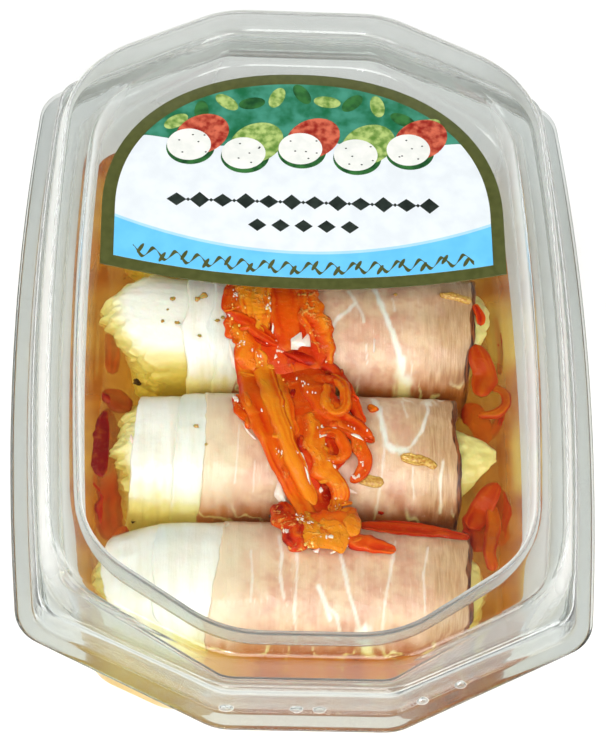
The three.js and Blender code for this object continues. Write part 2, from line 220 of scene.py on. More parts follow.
def add_piece(name, coats, replaced=(), rounded=True):
    """Object from a list of pairs of a material and its bodies, shaded smoothly where it is rounded. It
    rides on the root body."""
    mesh = bpy.data.meshes.new(name)
    points, faces, looks, masks = [], [], [], {}
    start = 0
    for k, (material, bodies) in enumerate(coats):
        mesh.materials.append(material)
        for body in bodies:
            points.append(body.points)
            faces += (body.quads + start).tolist() + (body.triangles + start).tolist()
            looks += [k] * (len(body.quads) + len(body.triangles))
            for key, value in body.masks.items():
                masks.setdefault(key, []).append((start, value))
            start += len(body.points)
    mesh.from_pydata((np.concatenate(points) * MM).tolist(), [], faces)
    mesh.polygons.foreach_set("material_index", looks)
    mesh.polygons.foreach_set("use_smooth", [rounded] * len(faces))
    for key, pairs in masks.items():
        values = np.zeros(start, np.float32)
        for first, value in pairs:
            values[first:first + len(value)] = value
        mesh.attributes.new(key, "FLOAT", "POINT").data.foreach_set("value", values)
    mesh.update()
    piece = bpy.data.objects.new(name, mesh)
    bpy.context.scene.collection.objects.link(piece)
    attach(piece, "root")
    if replaced:
        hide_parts(*replaced)


# ------------------------------------------------------------------ node tools

def srgb(red, green, blue):
    """Linear colour with alpha 1 from red, green and blue of 0 to 255, by the sRGB curve."""
    shares = np.array([red, green, blue]) / 255
    linear = np.where(shares > 0.04045, ((shares + 0.055) / 1.055) ** 2.4, shares / 12.92)
    return (*linear.tolist(), 1)


def add_node(tree, kind, values=None, **settings):
    """New node with its settings, and its inputs set to values or linked to other nodes' outputs."""
    made = tree.nodes.new(kind)
    for key, value in settings.items():
        setattr(made, key, value)
    for key, value in (values or {}).items():
        if isinstance(value, bpy.types.NodeSocket):
            tree.links.new(value, made.inputs[key])
        else:
            made.inputs[key].default_value = value
    return made


def mixed(tree, share, low, high, blend="MIX"):
    """Colour between low and high, or low blended with high in another way by that share."""
    colours = {0: share, 6: low, 7: high}
    return add_node(tree, "ShaderNodeMix", colours, data_type="RGBA", blend_type=blend).outputs[2]


def ranged(tree, value, low, high, out_low=0.0, out_high=1.0):
    """Value brought smoothly from the range low..high to out_low..out_high."""
    node = add_node(tree, "ShaderNodeMapRange", {
        "Value": value, "From Min": low, "From Max": high, "To Min": out_low, "To Max": out_high,
    }, interpolation_type="SMOOTHSTEP")
    return node.outputs["Result"]


def calculated(tree, operation, first, second):
    return add_node(tree, "ShaderNodeMath", {0: first, 1: second}, operation=operation).outputs[0]


def painted(tree, name):
    """The piece's own mask of that name."""
    return add_node(tree, "ShaderNodeAttribute", attribute_name=name).outputs["Fac"]


def noise(tree, vector, scale, detail=3.0, roughness=0.5, distortion=0.0):
    node = add_node(tree, "ShaderNodeTexNoise", {
        "Vector": vector, "Scale": scale, "Detail": detail, "Roughness": roughness, "Distortion": distortion,
    })
    return node.outputs["Fac"]


def stretched(tree, x, y, z):
    """Object coordinates in millimetres, multiplied by x, y and z."""
    place = add_node(tree, "ShaderNodeTexCoord").outputs["Object"]
    factors = (x / MM, y / MM, z / MM)
    node = add_node(tree, "ShaderNodeVectorMath", {0: place, 1: factors}, operation="MULTIPLY")
    return node.outputs["Vector"]


def new_group(name, inputs, outputs):
    """Node group with named inputs, each a kind and a value, and named outputs."""
    group = bpy.data.node_groups.new(name, "ShaderNodeTree")
    for key, (kind, value) in inputs.items():
        group.interface.new_socket(key, in_out="INPUT", socket_type=kind).default_value = value
    for key, kind in outputs.items():
        group.interface.new_socket(key, in_out="OUTPUT", socket_type=kind)
    return group, group.nodes.new("NodeGroupInput"), group.nodes.new("NodeGroupOutput")


def make_uneven():
    """Random tone from 0 to 1 at a size in millimetres, and a normal pressed by it."""
    group, source, target = new_group("uneven surface", {
        "Size": ("NodeSocketFloat", 2.0),
        "Detail": ("NodeSocketFloat", 3.0),
        "Depth": ("NodeSocketFloat", 0.1),
        "Strength": ("NodeSocketFloat", 0.5),
    }, {"Tone": "NodeSocketFloat", "Normal": "NodeSocketVector"})
    place = stretched(group, 1, 1, 1)
    scale = calculated(group, "DIVIDE", 1.0, source.outputs["Size"])
    tone = noise(group, place, scale, source.outputs["Detail"])
    bump = add_node(group, "ShaderNodeBump", {
        "Height": calculated(group, "MULTIPLY", tone, source.outputs["Depth"]),
        "Strength": source.outputs["Strength"],
        "Distance": MM,
    })
    group.links.new(tone, target.inputs["Tone"])
    group.links.new(bump.outputs["Normal"], target.inputs["Normal"])
    return group


UNEVEN = make_uneven()


def uneven(tree, size, depth, strength=0.5, detail=3.0):
    node = add_node(tree, "ShaderNodeGroup", {
        "Size": size, "Detail": detail, "Depth": depth, "Strength": strength,
    }, node_tree=UNEVEN)
    return node.outputs["Tone"], node.outputs["Normal"]


def make_fibres():
    """Streaks that run round a roll: a random field drawn out along the mask 'around', from 0 to 1."""
    group, source, target = new_group("fibres", {
        "Width": ("NodeSocketFloat", 1.0),
        "Length": ("NodeSocketFloat", 12.0),
    }, {"Streaks": "NodeSocketFloat"})
    place = add_node(group, "ShaderNodeSeparateXYZ", {0: stretched(group, 1, 1, 1)})
    across = calculated(group, "DIVIDE", place.outputs["X"], source.outputs["Width"])
    along = calculated(group, "DIVIDE", painted(group, "around"), source.outputs["Length"])
    vector = add_node(group, "ShaderNodeCombineXYZ", {"X": across, "Y": along})
    streaks = noise(group, vector.outputs["Vector"], 1.0, 4.0, 0.6, 0.4)
    group.links.new(streaks, target.inputs["Streaks"])
    return group


FIBRES = make_fibres()


def fibres(tree, width, length):
    lengths = {"Width": width, "Length": length}
    return add_node(tree, "ShaderNodeGroup", lengths, node_tree=FIBRES).outputs["Streaks"]


def new_material(name, **sockets):
    """Material whose Principled shader has the given plain values."""
    material = bpy.data.materials.new(name)
    material.use_nodes = True
    shader = material.node_tree.nodes["Principled BSDF"]
    for key, value in sockets.items():
        shader.inputs[key.replace("_", " ")].default_value = value
    return material, material.node_tree, shader


def feed(tree, shader, **sources):
    for key, output in sources.items():
        tree.links.new(output, shader.inputs[key.replace("_", " ")])


def let_light_through(material, tint):
    """Shadow and diffuse rays pass straight through the surface with a tint, so that what is inside is
    lit."""
    tree = material.node_tree
    target = tree.nodes["Material Output"].inputs["Surface"]
    path = add_node(tree, "ShaderNodeLightPath")
    passing = calculated(tree, "MAXIMUM", path.outputs["Is Shadow Ray"], path.outputs["Is Diffuse Ray"])
    clear = add_node(tree, "ShaderNodeBsdfTransparent", {"Color": tint})
    solid = target.links[0].from_socket
    mix = add_node(tree, "ShaderNodeMixShader", {0: passing, 1: solid, 2: clear.outputs[0]})
    tree.links.new(mix.outputs[0], target)


def veiled(tree, share, diffuse, translucent, thin):
    """Mixes a share of diffuse and translucent colour into the surface, thin being the translucent part."""
    target = tree.nodes["Material Output"].inputs["Surface"]
    clear = target.links[0].from_socket
    chalk = add_node(tree, "ShaderNodeBsdfDiffuse", {"Color": diffuse})
    milk = add_node(tree, "ShaderNodeBsdfTranslucent", {"Color": translucent})
    soft = add_node(tree, "ShaderNodeMixShader", {0: thin, 1: chalk.outputs[0], 2: milk.outputs[0]})
    both = add_node(tree, "ShaderNodeMixShader", {0: share, 1: clear, 2: soft.outputs[0]})
    tree.links.new(both.outputs[0], target)


# ------------------------------------------------------------------ materials

def make_plastic():
    material, tree, shader = new_material("clear moulded plastic", IOR=1.4, Transmission_Weight=1.0)
    # The tint turns darker outside the panel: painted shade, standing in for the grey that shadow and dark
    # reflections give the flange, skirt and walls.
    tint = mixed(tree, painted(tree, "smoke"), (0.87, 0.885, 0.875, 1), (0.76, 0.785, 0.775, 1))
    tone, _ = uneven(tree, 9, 0, 0)
    _, normal = uneven(tree, 16, 0.12, 0.08, 1.0)
    feed(tree, shader, Base_Color=tint, Roughness=ranged(tree, tone, 0.3, 0.7, 0.015, 0.045), Normal=normal)
    facing = add_node(tree, "ShaderNodeLayerWeight", {"Blend": 0.35}).outputs["Facing"]
    share = calculated(tree, "MULTIPLY", painted(tree, "haze"), ranged(tree, facing, 0.1, 0.9, 0.02, 0.6))
    veiled(tree, share, (0.9, 0.92, 0.9, 1), (0.9, 0.92, 0.9, 1), 0.5)
    let_light_through(material, (0.975, 0.98, 0.975, 1))
    return material


def make_oil():
    material, tree, shader = new_material(
        "golden oil", Base_Color=(1, 1, 1, 1), IOR=1.14, Transmission_Weight=1.0,
    )
    tone, normal = uneven(tree, 7, 0.3, 0.4, 1.0)
    feed(tree, shader, Roughness=ranged(tree, tone, 0.3, 0.7, 0.0, 0.03), Normal=normal)
    cloud, _ = uneven(tree, 9, 0, 0)
    amber = mixed(tree, ranged(tree, cloud, 0.35, 0.65), srgb(176, 86, 8), srgb(206, 126, 26))
    amber = mixed(tree, painted(tree, "yellow"), amber, srgb(228, 192, 86))
    veiled(tree, calculated(tree, "MULTIPLY", painted(tree, "cloud"), 0.65), amber, amber, 0.4)
    let_light_through(material, (1, 1, 1, 1))
    volume = add_node(tree, "ShaderNodeVolumeAbsorption", {"Color": (0.97, 0.84, 0.16, 1), "Density": 50.0})
    tree.links.new(volume.outputs[0], tree.nodes["Material Output"].inputs["Volume"])
    return material


def make_bacon():
    material, tree, shader = new_material(
        "thin-cut bacon", Subsurface_Weight=0.2, Subsurface_Scale=0.002, Coat_Weight=0.4, Coat_Roughness=0.2,
        Specular_IOR_Level=0.4,
    )
    fine = fibres(tree, 0.5, 7)
    broad = fibres(tree, 2.6, 30)
    wet = fibres(tree, 0.28, 2.6)
    patch, _ = uneven(tree, 9, 0, 0)
    tone, normal = uneven(tree, 2.6, 0.35, 0.55)
    soaked = painted(tree, "oiled")
    lean = mixed(tree, ranged(tree, patch, 0.36, 0.6), srgb(212, 162, 132), srgb(226, 188, 150))
    lean = mixed(tree, ranged(tree, broad, 0.4, 0.7, 0.0, 0.5), lean, srgb(234, 202, 172))
    lean = mixed(tree, ranged(tree, tone, 0.45, 0.75, 0.0, 0.5), lean, srgb(198, 140, 110))
    lean = mixed(tree, ranged(tree, fine, 0.56, 0.8, 0.0, 0.45), lean, srgb(244, 220, 196))
    lean = mixed(tree, painted(tree, "pale"), lean, srgb(236, 212, 178))
    smoked = mixed(tree, ranged(tree, fine, 0.3, 0.7), srgb(172, 128, 84), srgb(206, 170, 124))
    lean = mixed(tree, painted(tree, "smoked"), lean, smoked)
    # Low on the roll the lean is multiplied darker brown, a painted shade for the valleys between the rolls,
    # and the fat is turned yellower where oil soaks it.
    lean = mixed(tree, soaked, lean, srgb(196, 138, 90), "MULTIPLY")
    # Sparse short white streaks on the lean: painted highlights, glints of light off its wet surface.
    lean = mixed(tree, ranged(tree, wet, 0.66, 0.74, 0.0, 0.7), lean, srgb(252, 240, 226))
    fat = mixed(tree, ranged(tree, broad, 0.35, 0.65), srgb(238, 231, 212), srgb(245, 241, 229))
    fat = mixed(tree, soaked, fat, srgb(242, 234, 168), "MULTIPLY")
    colour = mixed(tree, painted(tree, "fat"), lean, fat)
    char = calculated(tree, "ADD", painted(tree, "rind"), calculated(tree, "MULTIPLY", tone, 0.3))
    brown = mixed(tree, ranged(tree, fine, 0.4, 0.6), srgb(56, 20, 6), srgb(134, 70, 24))
    colour = mixed(tree, ranged(tree, char, 0.4, 0.85), colour, brown)
    height = add_node(tree, "ShaderNodeBump", {
        "Height": fine, "Strength": 0.5, "Distance": 0.2 * MM, "Normal": normal,
    })
    rough = ranged(tree, broad, 0.3, 0.7, 0.3, 0.5)
    pressed = height.outputs["Normal"]
    feed(tree, shader, Base_Color=colour, Normal=pressed, Roughness=rough, Coat_Normal=pressed)
    return material


def make_cheese():
    material, tree, shader = new_material(
        "soft cheese", Subsurface_Weight=0.3, Subsurface_Scale=0.003, Coat_Weight=0.35, Coat_Roughness=0.3,
    )
    tone, normal = uneven(tree, 1.6, 0.3, 0.6, 4.0)
    colour = mixed(tree, tone, srgb(210, 192, 100), srgb(232, 220, 144))
    colour = mixed(tree, painted(tree, "pale"), colour, srgb(253, 248, 232))
    # Low on the roll the cheese is multiplied darker and yellower: oil soaking it, and a painted shade.
    colour = mixed(tree, painted(tree, "oiled"), colour, srgb(238, 226, 178), "MULTIPLY")
    feed(tree, shader, Base_Color=colour, Normal=normal, Roughness=ranged(tree, tone, 0.3, 0.7, 0.4, 0.6))
    return material


def make_pepper(name, coat, gloss, soak):
    """Flesh from orange to red by the mask 'red', which is also redder in creases as a painted shade, seedy
    by the mask 'pulp', and darker where it soaks.
    """
    material, tree, shader = new_material(
        name, Subsurface_Weight=0.25, Subsurface_Scale=0.0015, Coat_Weight=coat, Coat_Roughness=0.06,
        Roughness=0.35, Specular_IOR_Level=gloss,
    )
    tone, normal = uneven(tree, 2.4, 0.6, 0.5)
    grain, _ = uneven(tree, 1.1, 0, 0)
    tuft, _ = uneven(tree, 4, 0, 0)
    red, pulp = painted(tree, "red"), painted(tree, "pulp")
    colour = mixed(tree, ranged(tree, red, 0.0, 0.4), srgb(230, 136, 24), srgb(214, 82, 6))
    colour = mixed(tree, ranged(tree, red, 0.35, 0.75), colour, srgb(198, 48, 4))
    colour = mixed(tree, ranged(tree, red, 0.7, 1.0), colour, srgb(148, 10, 2))
    colour = mixed(tree, ranged(tree, tone, 0.5, 0.8, 0.0, 0.35), colour, srgb(236, 140, 44))
    clumps = calculated(tree, "MULTIPLY", ranged(tree, grain, 0.5, 0.66), ranged(tree, tuft, 0.4, 0.58))
    seedy = calculated(tree, "MULTIPLY", pulp, clumps)
    colour = mixed(tree, ranged(tree, seedy, 0.0, 1.0, 0.0, 0.7), colour, srgb(242, 176, 84))
    colour = mixed(tree, soak, colour, srgb(206, 186, 130), "MULTIPLY")
    height = add_node(tree, "ShaderNodeBump", {
        "Height": seedy, "Strength": 0.8, "Distance": 0.5 * MM, "Normal": normal,
    })
    pressed = height.outputs["Normal"]
    feed(tree, shader, Base_Color=colour, Normal=pressed, Coat_Normal=pressed)
    return material


def make_patchy(name, patch, low, high, blend, rough, **sockets):
    """Material whose colour and roughness go between two values in soft patches. A patch is the size, depth
    and strength of its unevenness, and blend the range of tone over which the colour changes."""
    material, tree, shader = new_material(name, **sockets)
    tone, normal = uneven(tree, *patch)
    colour = mixed(tree, ranged(tree, tone, *blend), low, high)
    feed(tree, shader, Base_Color=colour, Normal=normal, Roughness=ranged(tree, tone, 0.3, 0.7, *rough))
    return material


# Near-white glossy colour: a painted highlight, standing in for light glinting off wet surfaces.
def make_glint():
    return make_patchy(
        "painted highlight film", (4, 0.05, 0.2), srgb(248, 214, 194), srgb(252, 236, 220), (0.3, 0.7), (0.12, 0.2),
        Coat_Weight=1.0, Coat_Roughness=0.03, Subsurface_Weight=0.2, Subsurface_Scale=0.001,
    )


def make_seed():
    return make_patchy(
        "wet pulp beads", (3, 0.1, 0.3), srgb(240, 150, 40), srgb(250, 216, 120), (0.35, 0.65), (0.2, 0.35),
        Coat_Weight=1.0, Coat_Roughness=0.04, Subsurface_Weight=0.3, Subsurface_Scale=0.001,
    )


def make_crumb(name, low, high):
    """Crumb of spice, herb or soft pulp."""
    return make_patchy(
        name, (0.6, 0.2, 0.8), srgb(*low), srgb(*high), (0.35, 0.65), (0.45, 0.7),
        Coat_Weight=0.5, Coat_Roughness=0.2,
    )


def make_print(name, low, high, size=5):
    """Printed film."""
    return make_patchy(
        name, (size, 0.02, 0.2), srgb(*low), srgb(*high), (0.3, 0.7), (0.35, 0.45),
        Coat_Weight=0.3, Coat_Roughness=0.15,
    )


PLASTIC = make_plastic()
OIL = make_oil()
BACON = make_bacon()
CHEESE = make_cheese()
PEPPER = make_pepper("pickled pepper flesh", 0.16, 0.05, 0.0)
SOAKED = make_pepper("pepper flesh in oil", 0.04, 0.08, 1.0)
GLINT = make_glint()
SEED = make_seed()
SPICE = make_crumb("dark spice", (30, 18, 10), (70, 46, 26))
HERB = make_crumb("dried herb", (140, 146, 60), (206, 130, 50))

# ------------------------------------------------------------------ tub and lid

def shifted(outline, distance):
    """The outline moved outward by a distance all round."""
    a, ac, yc, c, b, r1, r2 = outline
    slope = math.atan2(b - yc, ac - c)
    side = distance * math.tan((math.pi / 2 - slope) / 2)
    end = distance * math.tan(slope / 2)
    rounding = [max(r1 + distance, 1), max(r2 + distance, 1)]
    return np.array([a + distance, ac + distance, yc + side, c + end, b + distance, *rounding])


def ring(outline, distance, z, haze=1.0):
    """The outline moved outward, with its height and the plastic's haze there."""
    return np.concatenate([shifted(outline, distance), [z, haze]])


def softened(corners, radius, steps=5):
    """Path through rings with each inner corner made a quadratic Bezier arc, which starts and ends a radius
    from the corner, or 0.45 of the way to the next one where that is nearer."""
    def reach(others):
        away = np.hypot((others - corners)[:, [1, 4]].mean(1), (others - corners)[:, 7])
        return np.minimum(radius / np.maximum(away, 1e-6), 0.45)[:, None]
    before, after = np.roll(corners, 1, 0), np.roll(corners, -1, 0)
    start = corners + (before - corners) * reach(before)
    end = corners + (after - corners) * reach(after)
    t = np.linspace(0, 1, steps)[None, :, None]
    arcs = (1 - t) ** 2 * start[:, None] + 2 * t * (1 - t) * corners[:, None] + t**2 * end[:, None]
    return np.concatenate([corners[:1], arcs[1:-1].reshape(-1, corners.shape[1]), corners[-1:]])


def divided(path, longest):
    """The path with extra rings where two are further apart than the longest step."""
    steps = np.diff(path, axis=0)
    away = np.hypot(steps[:, [1, 4]].mean(1), steps[:, 7])
    counts = np.ceil(away / longest).astype(int).clip(1)
    first = np.repeat(np.arange(len(counts)), counts)
    share = (np.arange(len(first)) - np.repeat(np.cumsum(counts) - counts, counts)) / counts[first]
    return np.concatenate([path[first] + steps[first] * share[:, None], path[-1:]])


def arc_points(start, corner, end, count):
    """Quadratic Bezier arc, without its end point."""
    t = np.arange(count) / count
    return (1 - t) ** 2 * start + 2 * t * (1 - t) * corner + t**2 * end


# Steps along a quarter of a ring: its bowed side, side corner, slant, end corner and half of its end.
BOW_STEPS, SIDE_STEPS, SLANT_STEPS, CORNER_STEPS, END_STEPS = 12, 12, 14, 10, 8


def outline_points(path):
    """Points round each ring: x = ac + (a - ac)(1 - (y / yc)^2) up the bowed side, a Bezier arc, the straight
    slant to the end corner, a Bezier arc, and straight to x = 0. The quarter is then mirrored three times."""
    a, ac, yc, c, b, r1, r2, z = path.T[:8, :, None]
    length = np.hypot(c - ac, b - yc)
    slant_x, slant_y = (c - ac) / length, (b - yc) / length
    lean = np.hypot(2 * (a - ac) / yc, 1)
    side_turn = np.arccos((-2 * (a - ac) / yc * slant_x + slant_y) / lean)
    end_turn = np.arccos(-slant_x)
    side_cut, end_cut = r1 * np.tan(side_turn / 2), r2 * np.tan(end_turn / 2)

    def bowed(y):
        return ac + (a - ac) * (1 - (y / yc) ** 2)

    low = yc - side_cut
    y_bow = low * np.arange(BOW_STEPS) / BOW_STEPS
    after_x, after_y = ac + slant_x * side_cut, yc + slant_y * side_cut
    before_x, before_y = c - slant_x * end_cut, b - slant_y * end_cut
    slant = np.arange(SLANT_STEPS) / SLANT_STEPS
    top = np.arange(END_STEPS + 1) / END_STEPS
    x = np.concatenate([
        bowed(y_bow),
        arc_points(bowed(low), ac, after_x, SIDE_STEPS),
        after_x + (before_x - after_x) * slant,
        arc_points(before_x, c, c - end_cut, CORNER_STEPS),
        (c - end_cut) * (1 - top),
    ], 1)
    y = np.concatenate([
        y_bow,
        arc_points(low, yc, after_y, SIDE_STEPS),
        after_y + (before_y - after_y) * slant,
        arc_points(before_y, b, b, CORNER_STEPS),
        b + 0 * top,
    ], 1)
    turned_x = np.concatenate([x[:, :-1], -x[:, :0:-1], -x[:, :-1], x[:, :0:-1]], 1)
    turned_y = np.concatenate([y[:, :-1], y[:, :0:-1], -y[:, :-1], -y[:, :0:-1]], 1)
    return np.stack([turned_x, turned_y, np.broadcast_to(z, turned_x.shape)], -1)


def between(low, high, share):
    return low + (high - low) * share


NEAR_HAZE_Y = (-60, -88)  # where the haze fades towards the near end
FAR_HAZE_Y = (74, 90)  # where it grows towards the far end


def shell_body(path):
    """Body of plastic through the rings of a path, with masks. The ring's own haze is made stronger on the
    rim and at the far end and weaker at the near end, a little less so in the well round the panel. A
    darker tint, a painted shade, darkens everything outside the panel, half as much at the far end."""
    points = outline_points(path)
    length, height, haze = path[:, 4:5], path[:, 7:8], path[:, 8:]
    rim = smooth(99.3, 98.4, length)
    well = (length < RIM_MIDDLE) & (height > FLANGE_Z + PANEL_RISE)
    near, far = smooth(*NEAR_HAZE_Y, points[..., 1]), smooth(*FAR_HAZE_Y, points[..., 1])
    masks = {
        "haze": haze * (0.9 + rim + far) * (1 - near * np.where(well, 0.8, 0.96)),
        "smoke": smooth(PANEL[4] + 0.3, PANEL[4] + 2, length) * (1 - 0.5 * far),
    }
    return grid_body(points, masks=masks)


def tub_path():
    """Rings up the inside of the tub from the floor, over the rim and flange and down the outside."""
    bead = shifted(SHOULDER, -WALL - GAP - 0.1)
    bead_foot = shifted(SKIRT_FOOT, -WALL - GAP - 0.1)
    outer_base, outer_mouth = shifted(BASE, WALL), shifted(MOUTH, WALL)
    flange_top, land_top = FLANGE_Z - GAP, FLANGE_Z + LAND_RISE
    return np.array([
        ring(BASE, -6, WALL, 0),
        ring(BASE, -1.8, 1.9, 0),
        ring(BASE, 0, FOOT_Z, 0),
        ring(between(BASE, MOUTH, 0.5), 0, 26, 0.5),
        ring(MOUTH, 0, land_top - MOUTH_ROUND),
        ring(MOUTH, 0.8, land_top - 0.6),
        ring(MOUTH, 2.2, land_top),
        ring(bead, -1.2, land_top),
        ring(bead, 0, land_top - 0.9),
        ring(bead_foot, 0, flange_top, 0.3),
        ring(FLANGE, -0.6, flange_top, 0),
        ring(FLANGE, -0.6, flange_top - WALL, 0),
        ring(bead_foot, -WALL, flange_top - WALL, 0.3),
        ring(bead, -WALL, land_top - WALL - 0.7),
        ring(bead, -1.8, land_top - WALL),
        ring(MOUTH, 2.6, land_top - WALL),
        ring(MOUTH, 1.5, land_top - WALL - 0.5),
        ring(outer_mouth, 0, land_top - 2.6),
        ring(between(outer_base, outer_mouth, 0.5), 0, 25.6, 0),
        ring(outer_base, 0, 4.6, 0),
        ring(outer_base, -2, 1.1, 0),
        ring(outer_base, -6, 0, 0),
    ])


def lid_path():
    """Rings out over the lid's panel, up and over the hollow rim, down the skirt and back below."""
    panel_top, rim_top, ledge = FLANGE_Z + PANEL_RISE, FLANGE_Z + LID_RISE, FLANGE_Z + SHOULDER_RISE
    return np.array([
        ring(PANEL, -0.8, panel_top, 0),
        ring(PANEL, 0, panel_top + 0.8, 0.3),
        ring(RIM_IN, 0, rim_top - 1.4),
        ring(RIM_IN, 0.8, rim_top - 0.4),
        ring(RIM_IN, 2.4, rim_top),
        ring(RIM_OUT, -2.4, rim_top),
        ring(RIM_OUT, -0.7, rim_top - 0.6),
        ring(RIM_OUT, 0, rim_top - 2.1),
        ring(RIM_FOOT, 0, ledge + 0.6),
        ring(RIM_FOOT, 0.6, ledge + 0.1),
        ring(SHOULDER, -0.9, ledge),
        ring(SHOULDER, 0, ledge - 0.9),
        ring(SKIRT_FOOT, 0, FLANGE_Z + WALL, 0.3),
        ring(FLANGE, 0, FLANGE_Z + WALL, 0),
        ring(FLANGE, 0, FLANGE_Z, 0),
        ring(SKIRT_FOOT, -WALL, FLANGE_Z, 0.3),
        ring(SHOULDER, -WALL, ledge - 1.3),
        ring(SHOULDER, -1.5, ledge - WALL),
        ring(RIM_FOOT, -0.3, ledge - WALL + 0.1),
        ring(RIM_FOOT, -WALL, ledge + 0.3),
        ring(RIM_OUT, -WALL, rim_top - 2.4),
        ring(RIM_OUT, -1.4, rim_top - WALL - 0.5),
        ring(RIM_OUT, -2.8, rim_top - WALL),
        ring(RIM_IN, 2.8, rim_top - WALL),
        ring(RIM_IN, 1.5, rim_top - WALL - 0.4),
        ring(RIM_IN, WALL, rim_top - 2),
        ring(PANEL, WALL, panel_top + 0.3, 0.3),
        ring(PANEL, -0.4, panel_top - WALL, 0),
    ])


def add_tub():
    path = divided(softened(tub_path(), 1.2), 6)
    add_piece("tub_shell", [(PLASTIC, [shell_body(path)])], ["tub"])


def add_lid():
    path = divided(softened(lid_path(), 1.0), 3)
    add_piece("lid_shell", [(PLASTIC, [shell_body(path)])], ["lid"])


# Closing bumps at the foot of the lid's near skirt: x, y and half length, and half sizes that all share.
BUMP_DEPTH, BUMP_HEIGHT, BUMP_HAZE = 0.9, 1.3, 2.0
BUMPS = [(-19, -101, 1.8), (-2.4, -101, 1.6), (3, -101, 1.6), (27.4, -98.2, 1.5), (36.6, -93.8, 1.5)]


def add_bumps():
    bumps = []
    for k, (x, y, size) in enumerate(BUMPS):
        bump = pebble((x, y, FLANGE_Z + 2), (size, BUMP_DEPTH, BUMP_HEIGHT), 20 + k, 12, 18, 0.1)
        # A strong haze makes each bump milky white: a painted highlight for the light it catches.
        bump.masks["haze"] = np.full(len(bump.points), BUMP_HAZE)
        bumps.append(bump)
    add_piece("closing_bumps", [(PLASTIC, bumps)])


# ------------------------------------------------------------------ label

LAYER = 0.03  # thickness of an ink
ARCH_POINTS, LOW_POINTS, OVAL_POINTS = 97, 61, 48


def label_outline(border=0):
    """Arch x = w cos^(2/n), y = spring + rise sin^(2/n) over straight sides, and a parabola below, all a
    border inside the label's edge."""
    half_width = LABEL_HALF_WIDTH - border
    angle = np.linspace(0, math.pi, ARCH_POINTS)
    power = 2 / LABEL_SQUARENESS
    arch_x = half_width * np.sign(np.cos(angle)) * np.abs(np.cos(angle)) ** power
    rise = LABEL_TOP_Y - LABEL_SPRING_Y - border
    arch_y = LABEL_SPRING_Y + rise * np.sin(angle).clip(0) ** power
    x = half_width * np.linspace(-1, 1, LOW_POINTS)
    low_y = LABEL_LOW_Y + border + (LABEL_CORNER_Y - LABEL_LOW_Y) * (x / LABEL_HALF_WIDTH) ** 2
    return np.stack([np.concatenate([arch_x, x]), np.concatenate([arch_y, low_y])], 1)


def film(inner, outer, z, thickness=LAYER):
    """Thin body between two outlines with the same number of points, or from a middle point to an outline."""
    inner = np.broadcast_to(inner, outer.shape)
    low, high = np.full((len(outer), 1), z), np.full((len(outer), 1), z + thickness)
    layers = (inner, low), (outer, low), (outer, high), (inner, high)
    return grid_body(np.array([np.hstack(layer) for layer in layers]), loop_rows=True)


def strip_film(x, low_y, high_y, z):
    """Thin body between two curves over the same x."""
    there, back = np.stack([x, low_y], 1), np.stack([x, high_y], 1)[::-1]
    outline = np.concatenate([there, back])
    middle = np.concatenate([np.stack([x, (low_y + high_y) / 2], 1)] * 2)
    middle[len(x):] = middle[len(x):][::-1]
    return film(middle, outline, z)


def oval(x, y, long, short, turn, z):
    """Thin ellipse with its long half axis turned by turn degrees."""
    angle = np.linspace(0, 2 * math.pi, OVAL_POINTS, endpoint=False)
    along, across = long * np.cos(angle), short * np.sin(angle)
    c, s = math.cos(math.radians(turn)), math.sin(math.radians(turn))
    outline = np.stack([x + along * c - across * s, y + along * s + across * c], 1)
    return film(np.array([x, y]), outline, z)


def lozenge(x, y, half_width, half_height, z):
    """Thin upright lozenge."""
    outline = np.array([[x + half_width, y], [x, y + half_height], [x - half_width, y], [x, y - half_height]])
    return film(np.array([x, y]), outline, z)


# Inks of the print: dark and light colour and, where it isn't 5, the size of its patches.
INKS = {
    "white": ((216, 222, 226), (224, 230, 234)),
    "olive": ((70, 74, 34), (80, 84, 40), 2),
    "sky blue": ((98, 186, 232), (106, 194, 238)),
    "pale blue": ((162, 208, 232), (170, 214, 236)),
    "green": ((22, 98, 60), (64, 140, 118)),
    "moss": ((20, 66, 34), (52, 112, 52), 3),
    "cream": ((220, 222, 216), (232, 232, 226), 3),
    "rose": ((140, 30, 22), (206, 104, 76), 2),
    "leaf": ((92, 130, 52), (176, 196, 116), 2),
    "dark": ((26, 34, 30), (40, 50, 44), 2),
}
FIELD_LOW_Y = 61  # lower edge of the green field
BAND_HIGH_Y, BAND_BULGE = 25, 12  # upper edge of the blue band
WAVE_Y, WAVE_BULGE = 20.6, 6.4  # wavy line on the band
SLICES_Y, LEAVES_Y = 58.6, 66.6  # round slices and leaves on the green field
SIGNS_Y, SMALL_SIGNS_Y = 41.6, 34  # two rows of lozenges


def band_shapes(inner, top):
    """The blue band along the label's lower edge, and the paler one whose upper side shows above it."""
    x = np.linspace(inner[:, 0].min(), inner[:, 0].max(), 60)
    bulge = (x / LABEL_HALF_WIDTH) ** 2
    low = LABEL_LOW_Y + LABEL_BORDER + (LABEL_CORNER_Y - LABEL_LOW_Y) * bulge
    edge = BAND_HIGH_Y + BAND_BULGE * bulge
    return strip_film(x, low, edge, top + LAYER), strip_film(x, low, edge + 0.9, top + LAYER / 2)


